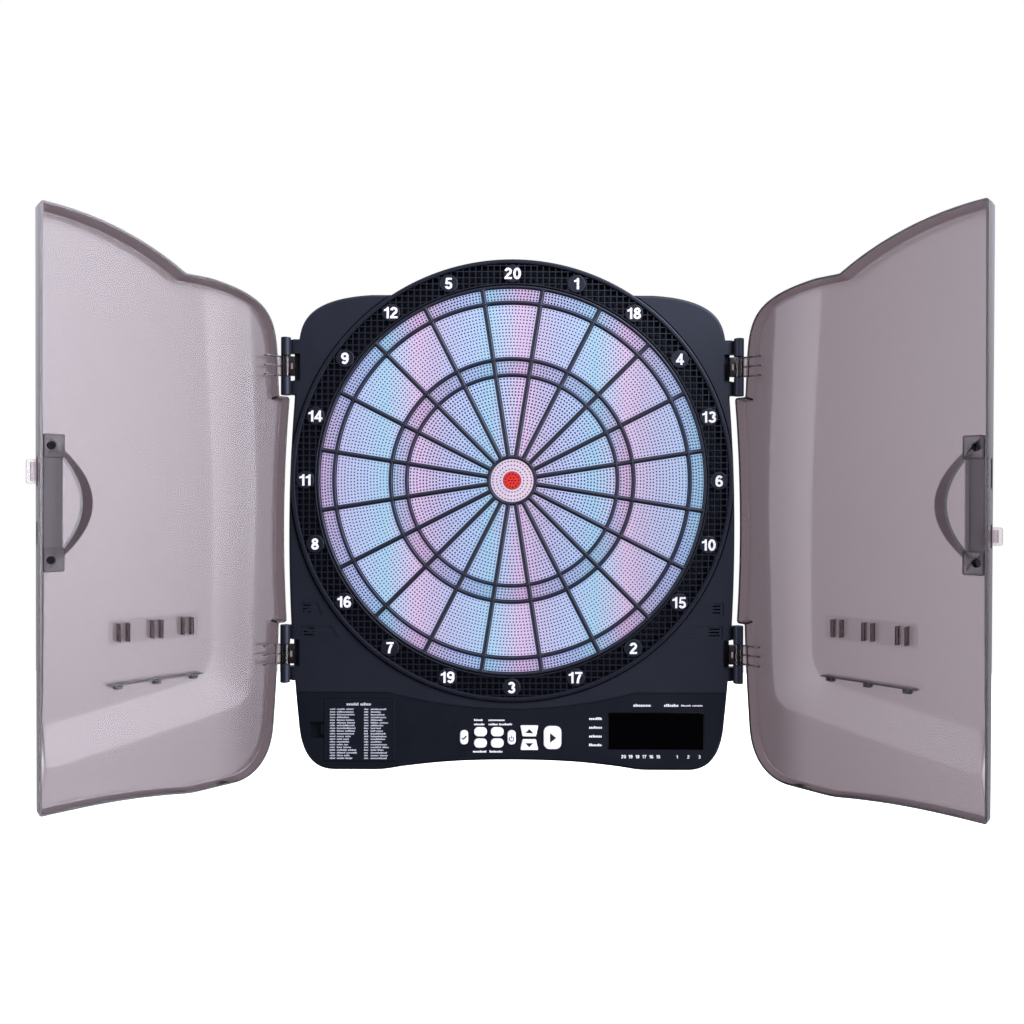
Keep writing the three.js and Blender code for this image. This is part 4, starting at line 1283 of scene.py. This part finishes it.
def grid_points(barriers):
    """Even points over the panel, clear of its rim, its pocket and the lines along its step."""
    last_ring, outer_d, inner_d = barriers[:3]
    grid = []
    for i in range(int(250 / GRID_SPACING)):
        for j in range(int(540 / GRID_SPACING)):
            grid.append((-8 + i * GRID_SPACING + (j % 2) * GRID_SPACING / 2, -300 + j * GRID_SPACING))
    ok = inside(grid, last_ring) & ~(inside(grid, outer_d) & ~inside(grid, inner_d))
    for k, barrier in enumerate(barriers):
        ok &= distance_to(grid, barrier, k < 3) > GRID_CLEAR
    return [p for p, good in zip(grid, ok) if good]


def door_surface(rows, lower, grow):
    """One skin of the door: its wall rows, then the panel. Returns points, faces and the rim's indices."""
    verts, faces = [], []
    rings = []
    last_ring = door_ring(rows[-1][0])
    heights = panel_height(last_ring) - (wall_thickness(last_ring) if lower else 0)
    for distance, drop in rows:
        ring = door_ring(distance)
        start = len(verts)
        for (u, z), height in zip(ring, heights):
            verts.append((u, z, DOOR_RIM if drop is None else height - drop))
        rings.append(list(range(start, start + len(ring))))
    count = len(rings[0])
    for a, b in zip(rings, rings[1:]):
        faces += skirt(a, b)

    outer_d = pocket_loop(POCKET_BOW, POCKET_FLAT, POCKET_HALF, grow)
    inner_d = pocket_loop(POCKET_INNER_BOW, POCKET_FLAT - 0.2, POCKET_INNER_HALF, grow)
    flat = list(last_ring)
    edges = [(i, (i + 1) % len(flat)) for i in range(len(flat))]
    for loop in (outer_d, inner_d):
        start = len(flat)
        flat += loop
        edges += [(start + i, start + (i + 1) % len(loop)) for i in range(len(loop))]
    barriers = [last_ring, outer_d, inner_d]
    add_slope_lines(flat, edges, barriers, last_ring)
    flat += grid_points(barriers)
    points, _, triangles, origins, _, _ = delaunay_2d_cdt([Vector(p) for p in flat], edges, [], 1, 1e-6)
    where = {}
    for made, sources in enumerate(origins):
        for source in sources:
            where.setdefault(made, source)
    places = np.array([tuple(p) for p in points])
    height = panel_height(places) - (wall_thickness(places) if lower else 0)
    deep = inside(places, inset(inner_d, -0.05))
    height[deep] = POCKET_FLOOR - lower
    index = []
    for made, (u, z) in enumerate(places):
        source = where.get(made, len(flat))
        if source < count:
            index.append(rings[-1][source])
        else:
            index.append(len(verts))
            verts.append((u, z, height[made]))
    faces += [tuple(index[i] for i in t) for t in triangles]
    return verts, faces, rings[0]


def door_shell():
    """A door's moulded shell as (u, z, w) points: an outer skin, an inner skin, and the rim between."""
    draft = 1.1
    outer_rows = [(0, None), (0.1, 12), (draft, WALL_ROUND)]
    inner_rows = [(DOOR_WALL, None), (DOOR_WALL + 0.1, 11)]
    for i in range(1, 6):
        a = math.pi / 2 * i / 5
        outer_rows.append((draft + WALL_ROUND * (1 - math.cos(a)), WALL_ROUND * (1 - math.sin(a))))
    outer_rows.append((draft + WALL_ROUND + 0.8, 0))
    inner_round = 1.0
    for i in range(0, 4):
        a = math.pi / 2 * i / 3
        distance = draft + DOOR_WALL + inner_round * (1 - math.cos(a))
        inner_rows.append((distance, inner_round * (1 - math.sin(a))))
    inner_rows.append((draft + DOOR_WALL + inner_round + 0.8, 0))
    outer_v, outer_f, outer_rim = door_surface(outer_rows, 0, 0)
    inner_v, inner_f, inner_rim = door_surface(inner_rows, DOOR_WALL, DOOR_WALL)
    shift = len(outer_v)
    faces = outer_f + [tuple(shift + i for i in f) for f in inner_f]
    faces += skirt(outer_rim, [shift + i for i in inner_rim])
    return outer_v + inner_v, faces


def on_door(side, solid):
    """(u, z, w) points of a solid to the closed door's frame."""
    verts, faces = solid
    return [(-side * u, -w, z) for u, z, w in verts], faces


def door_plate(side, points, low, high, low_round=0.0, high_round=0.0, steps=3):
    return plate([(-side * u, z) for u, z in points], low, high, high_round, low_round, steps)


def door_block(side, u0, u1, z0, z1, low, high, rounding=0.0):
    return door_plate(side, rectangle(u0, u1, z0, z1), low, high, rounding, rounding, 2)


TABS = {"left": (-8, 13), "right": (-57.5, -42)}
TAB_OUT = 8.5
TAB_THICK = 3


def door_solid(side, shell):
    solid = on_door(side, shell)
    slots = [door_block(side, 224, 240, z0 - 2, z1 + 2, TAB_OUT - 1, TAB_OUT + TAB_THICK + 1)
             for z0, z1 in TABS.values()]
    solid = cut(solid, together(*slots))
    for z in HINGE_Z:
        half = DOOR_KNUCKLE / 2
        knuckle = upright(KNUCKLE_RADIUS, 32, 0, 0, z - half, z + half, 0.3)
        ribs = [door_block(side, 3, 22, low, low + 1.4, DOOR_RIM, 5.5, 0.25)
                for low in (z - half, z - 0.7, z + half - 1.4)]
        web = door_block(side, 2, 9, z - half + 0.3, z + half - 0.3, 1.6, 3.2, 0.25)
        lug = block(-side * 0.5, -side * 10, z - half + 0.4, z + half - 0.4, -3.4, 3.2, 0.6)
        notch = block(-side * 4, -side * 8, z - 3.2, z + 3.2, -1.6, 5)
        back = Matrix.Rotation(-side * math.radians(OPEN_ANGLE["left" if side < 0 else "right"]), 4, "Z")
        solid = join(solid, together(*ribs), knuckle, web, moved(cut(lug, notch), back))
        solid = cut(solid, upright(1.8, 20, 0, 0, z - 30, z + 30))
    return solid


def build_cup(name, side, place, body):
    """The frosted plate inside the finger pocket: a strip between two raised pads with screws."""
    z0, z1 = -82.5, 34.5
    rows = [(212.6, 3.5, 3.6), (214.2, 2.6, 3.6), (216, 2.1, 3.7), (228.2, 2.0, 3.8)]
    verts = []
    for z in (z0 + 4, z1 - 4):
        for u, low, high in rows:
            verts += [(u, z, low), (u, z, high)]
    faces = [(0, 2, 4, 6, 7, 5, 3, 1), (8, 9, 11, 13, 15, 14, 12, 10)]
    faces += [(a, a + 2, a + 10, a + 8) for a in range(6)]
    faces += [(0, 1, 9, 8), (6, 7, 15, 14)]
    solid = on_door(side, (verts, faces))
    for low_z, high_z in ((z0, z0 + 20.5), (z1 - 20, z1)):
        middle = (low_z + high_z) / 2
        outline = pad(220.1, middle, 16.6, high_z - low_z, 1.6)
        raised = door_plate(side, outline, 1.0, 3.9, 0.3, 0.3)
        tray = door_plate(side, inset(counterclockwise(outline), 1.6), 0, 1.7)
        boss = door_plate(side, circle(4.6, 32, 222.6, middle), 1.2, 3.5)
        well = door_plate(side, circle(3.7, 32, 222.6, middle), 0, 2.4)
        solid = join(solid, cut(join(cut(raised, tray), boss), well))
    piece(f"{name}_cup_plate", solid, body, "cup_frosted", MATERIALS["frosted"], [f"{name}_finger_cup"],
          place)
    for k, middle in enumerate(((z0 + z0 + 20.5) / 2, (z1 + z1 - 20) / 2)):
        head = door_plate(side, circle(3.4, 32, 222.6, middle), 1.1, 2.3, 0.5)
        slot = [door_block(side, 222.6 - a, 222.6 + a, middle - b, middle + b, 0, 1.8)
                for a, b in ((2, 0.5), (0.5, 2))]
        screw = cut(head, *slot)
        piece(f"{name}_cup_screw_{k + 1}", screw, body, "pin_steel", MATERIALS["screw"], (), place)


def build_door(name, side, shell):
    turn = Matrix.Rotation(side * math.radians(OPEN_ANGLE[name]), 4, "Z")
    place = Matrix.Translation((side * HINGE_X, -HINGE_DEPTH, 0)) @ turn
    body = f"{name}_door_assembly"

    def fitted(part, solid, material, node, **options):
        piece(f"{name}_{part}", solid, body, "smoked_plastic", MATERIALS[material], [f"{name}_{node}"], place,
              **options)

    fitted("door_shell", door_solid(side, shell), "smoked", "door", sharp=38, weighted=False)
    build_cup(name, side, place, body)

    z0, z1 = TABS[name]
    middle = (z0 + z1) / 2
    tab = door_plate(side, pad(230.8, middle, 17.6, z1 - z0, 2.4), TAB_OUT + 0.9, TAB_OUT + 2.1, 0.3, 0.3)
    catch = door_plate(side, pad(232.8, middle, 7, z1 - z0 - 5, 0.8), TAB_OUT, TAB_OUT + TAB_THICK, 0.3, 0.3)
    fitted("latch_tongue", join(tab, catch), "clear", "latch_tab")

    floor = RAISED_OUT - DOOR_WALL - 0.3
    clips = door_plate(side, rectangle(84, 169, -153, -130), floor - 0.2, floor)
    for u in (157.5, 127, 97.5):
        for end in (-1, 1):
            near, far = sorted((u + end * 3.15, u + end * 5.75))
            clips = join(clips, clip_prong(side, near, far, end, floor))
    fitted("clip_strip", clips, "clip", "dart_clips")

    front = floor - 9
    shelf_line = [(82, -188.5), (171, -188.5), (168, -186.9), (85, -186.9)]
    shelf = door_plate(side, shelf_line, front, floor, 0.3)
    posts = [door_block(side, u - 3, u + 3, -192.5, -188, front + 1.5, floor, 0.3) for u in (91, 126.5, 162)]
    shelf = join(shelf, together(*posts))
    fitted("rest_shelf", shelf, "clip", "dart_rest")


def clip_prong(side, near, far, end, floor):
    """A prong of a dart clip: a thin leaf that leans over the dart and flares out again at its tip."""
    low, high = -150, -133
    tip = floor - 9
    root, lean = (near, far) if end > 0 else (far, near)
    lean = root + end * 0.9
    middle = tip + 3.2
    profile = [(root, floor - 0.2), (root - end * 0.9, middle), (root + end * 0.6, tip),
               (root + end * 1.5, tip + 0.2), (root + end * 0.2, middle), (lean + end * 0.3, floor - 0.2)]
    verts = [(u, z, w) for z in (low, high) for u, w in profile]
    return on_door(side, (verts, prism_faces(len(profile))))


# ---- studio ----

def smooth_step(tree, value, start, end, top):
    """0 where a value is at start, top where it is at end, smooth between."""
    node = add_node(tree, "ShaderNodeMapRange", From_Min=start, From_Max=end, To_Min=0.0, To_Max=top)
    node.interpolation_type = "SMOOTHSTEP"
    tree.links.new(value, node.inputs["Value"])
    return node.outputs["Result"]


def maths(tree, operation, first, second):
    node = tree.nodes.new("ShaderNodeMath")
    node.operation = operation
    for socket, value in zip(node.inputs, (first, second)):
        if isinstance(value, float):
            socket.default_value = value
        else:
            tree.links.new(value, socket)
    return node.outputs[0]


# Strength of the studio's surroundings: the room in front, low and high, the backdrop, a tall softbox on
# either side and a light above
ROOM_LIGHT = 0.02
HIGH_ROOM_LIGHT = 0.42
BACKDROP_LIGHT = 0.45
RIGHT_SOFTBOX = 10.0
LEFT_SOFTBOX = 4.2
OVERHEAD_LIGHT = 0.9
STUDIO_TINT = (0.92, 0.89, 1.0, 1)

# The floor, the key light and the camera, in metres
FLOOR_Z = -1.2
KEY_PLACE = (1.2, -1.6, 1.5)
KEY_AIM = (0, -0.1, 0)
KEY_SIZE = 0.9
KEY_POWER = 42
CAMERA_PLACE = (-0.0225, -0.924, -0.023)
CAMERA_ROLL = 0.0026
CAMERA_LENS = 30
CAMERA_SENSOR = 36
CAMERA_SHIFT = (0.0214, -0.0089)


def studio_light(tree):
    """The strength of the surroundings in each direction."""
    coordinates = tree.nodes.new("ShaderNodeTexCoord")
    axes = tree.nodes.new("ShaderNodeSeparateXYZ")
    tree.links.new(coordinates.outputs["Generated"], axes.inputs[0])
    x, y, z = (axes.outputs[k] for k in "XYZ")
    behind = smooth_step(tree, y, 0.0, 0.4, BACKDROP_LIGHT)
    right_front = smooth_step(tree, y, -0.12, -0.48, RIGHT_SOFTBOX)
    right_side = smooth_step(tree, x, 0.45, 0.85, 1.0)
    left_front = smooth_step(tree, y, -0.18, -0.45, LEFT_SOFTBOX)
    left_side = smooth_step(tree, x, -0.55, -0.85, 1.0)
    raised = smooth_step(tree, z, -0.6, -0.35, 1.0)
    softboxes = maths(tree, "ADD", maths(tree, "MULTIPLY", right_front, right_side),
                      maths(tree, "MULTIPLY", left_front, left_side))
    softboxes = maths(tree, "MULTIPLY", softboxes, raised)
    room = maths(tree, "ADD", smooth_step(tree, z, -0.2, 0.4, HIGH_ROOM_LIGHT), ROOM_LIGHT)
    above = smooth_step(tree, z, 0.5, 0.9, OVERHEAD_LIGHT)
    return maths(tree, "ADD", maths(tree, "ADD", behind, softboxes), maths(tree, "ADD", above, room))


def build_world():
    """Surroundings that light the object and show in its gloss, but are plain white seen directly."""
    scene = bpy.context.scene
    scene.view_settings.view_transform = "Standard"
    world = bpy.data.worlds.new("studio")
    scene.world = world
    world.use_nodes = True
    tree = world.node_tree
    background = tree.nodes["Background"]
    light = studio_light(tree)
    path = tree.nodes.new("ShaderNodeLightPath")
    seen = maths(tree, "MAXIMUM", path.outputs["Is Camera Ray"], path.outputs["Is Transmission Ray"])
    colour = tree.nodes.new("ShaderNodeMix")
    colour.data_type = "RGBA"
    colour.inputs["A"].default_value = STUDIO_TINT
    colour.inputs["B"].default_value = (1, 1, 1, 1)
    tree.links.new(seen, colour.inputs["Factor"])
    tree.links.new(colour.outputs["Result"], background.inputs["Color"])
    strength = tree.nodes.new("ShaderNodeMix")
    strength.inputs["B"].default_value = 1.0
    tree.links.new(seen, strength.inputs["Factor"])
    tree.links.new(light, strength.inputs["A"])
    tree.links.new(strength.outputs["Result"], background.inputs["Strength"])


def build_floor():
    mesh = mesh_of("studio_floor", plate(rectangle(-5000, 5000, -5000, 5000), -1, 1), MM)
    floor = bpy.data.objects.new("studio_floor", mesh)
    floor.matrix_world = Matrix.Translation((0, 0, FLOOR_Z)) @ Matrix.Rotation(math.pi / 2, 4, "X")
    floor.visible_glossy = False
    floor.visible_diffuse = False
    floor.visible_transmission = False
    bpy.context.scene.collection.objects.link(floor)
    material, tree, shader = new_material("floor_white")
    tree.links.new(ramp(tree, noise(tree, 3.0), [(0.0, (0.9, 0.9, 0.9)), (1.0, (0.93, 0.93, 0.93))]),
                   shader.inputs["Base Color"])
    shader.inputs["Roughness"].default_value = 0.9
    shader.inputs["Emission Color"].default_value = (1, 1, 1, 1)
    shader.inputs["Emission Strength"].default_value = 1.0
    mesh.materials.append(material)


def build_key_light():
    data = bpy.data.lights.new("key", "AREA")
    data.shape = "SQUARE"
    data.size = KEY_SIZE
    data.energy = KEY_POWER
    light = bpy.data.objects.new("key", data)
    light.location = KEY_PLACE
    light.rotation_mode = "QUATERNION"
    light.rotation_quaternion = (Vector(KEY_AIM) - Vector(KEY_PLACE)).to_track_quat("-Z", "Y")
    light.visible_camera = False
    bpy.context.scene.collection.objects.link(light)


def build_camera():
    """Straight ahead, a little left of the bull and below it, rolled by a hair: fitted to the photo."""
    data = bpy.data.cameras.new("camera")
    data.lens = CAMERA_LENS
    data.sensor_width = CAMERA_SENSOR
    data.shift_x, data.shift_y = CAMERA_SHIFT
    camera = bpy.data.objects.new("camera", data)
    turn = Matrix.Rotation(math.pi / 2, 4, "X") @ Matrix.Rotation(CAMERA_ROLL, 4, "Z")
    camera.matrix_world = Matrix.Translation(CAMERA_PLACE) @ turn
    bpy.context.scene.collection.objects.link(camera)
    bpy.context.scene.camera = camera


DIGITS = make_digits()
build_world()
build_floor()
build_key_light()
build_camera()
dress_cad_nodes()
build_housing()
build_target()
SHELL = door_shell()
for door_name, door_side_sign in SIDES.items():
    build_door(door_name, door_side_sign, SHELL)
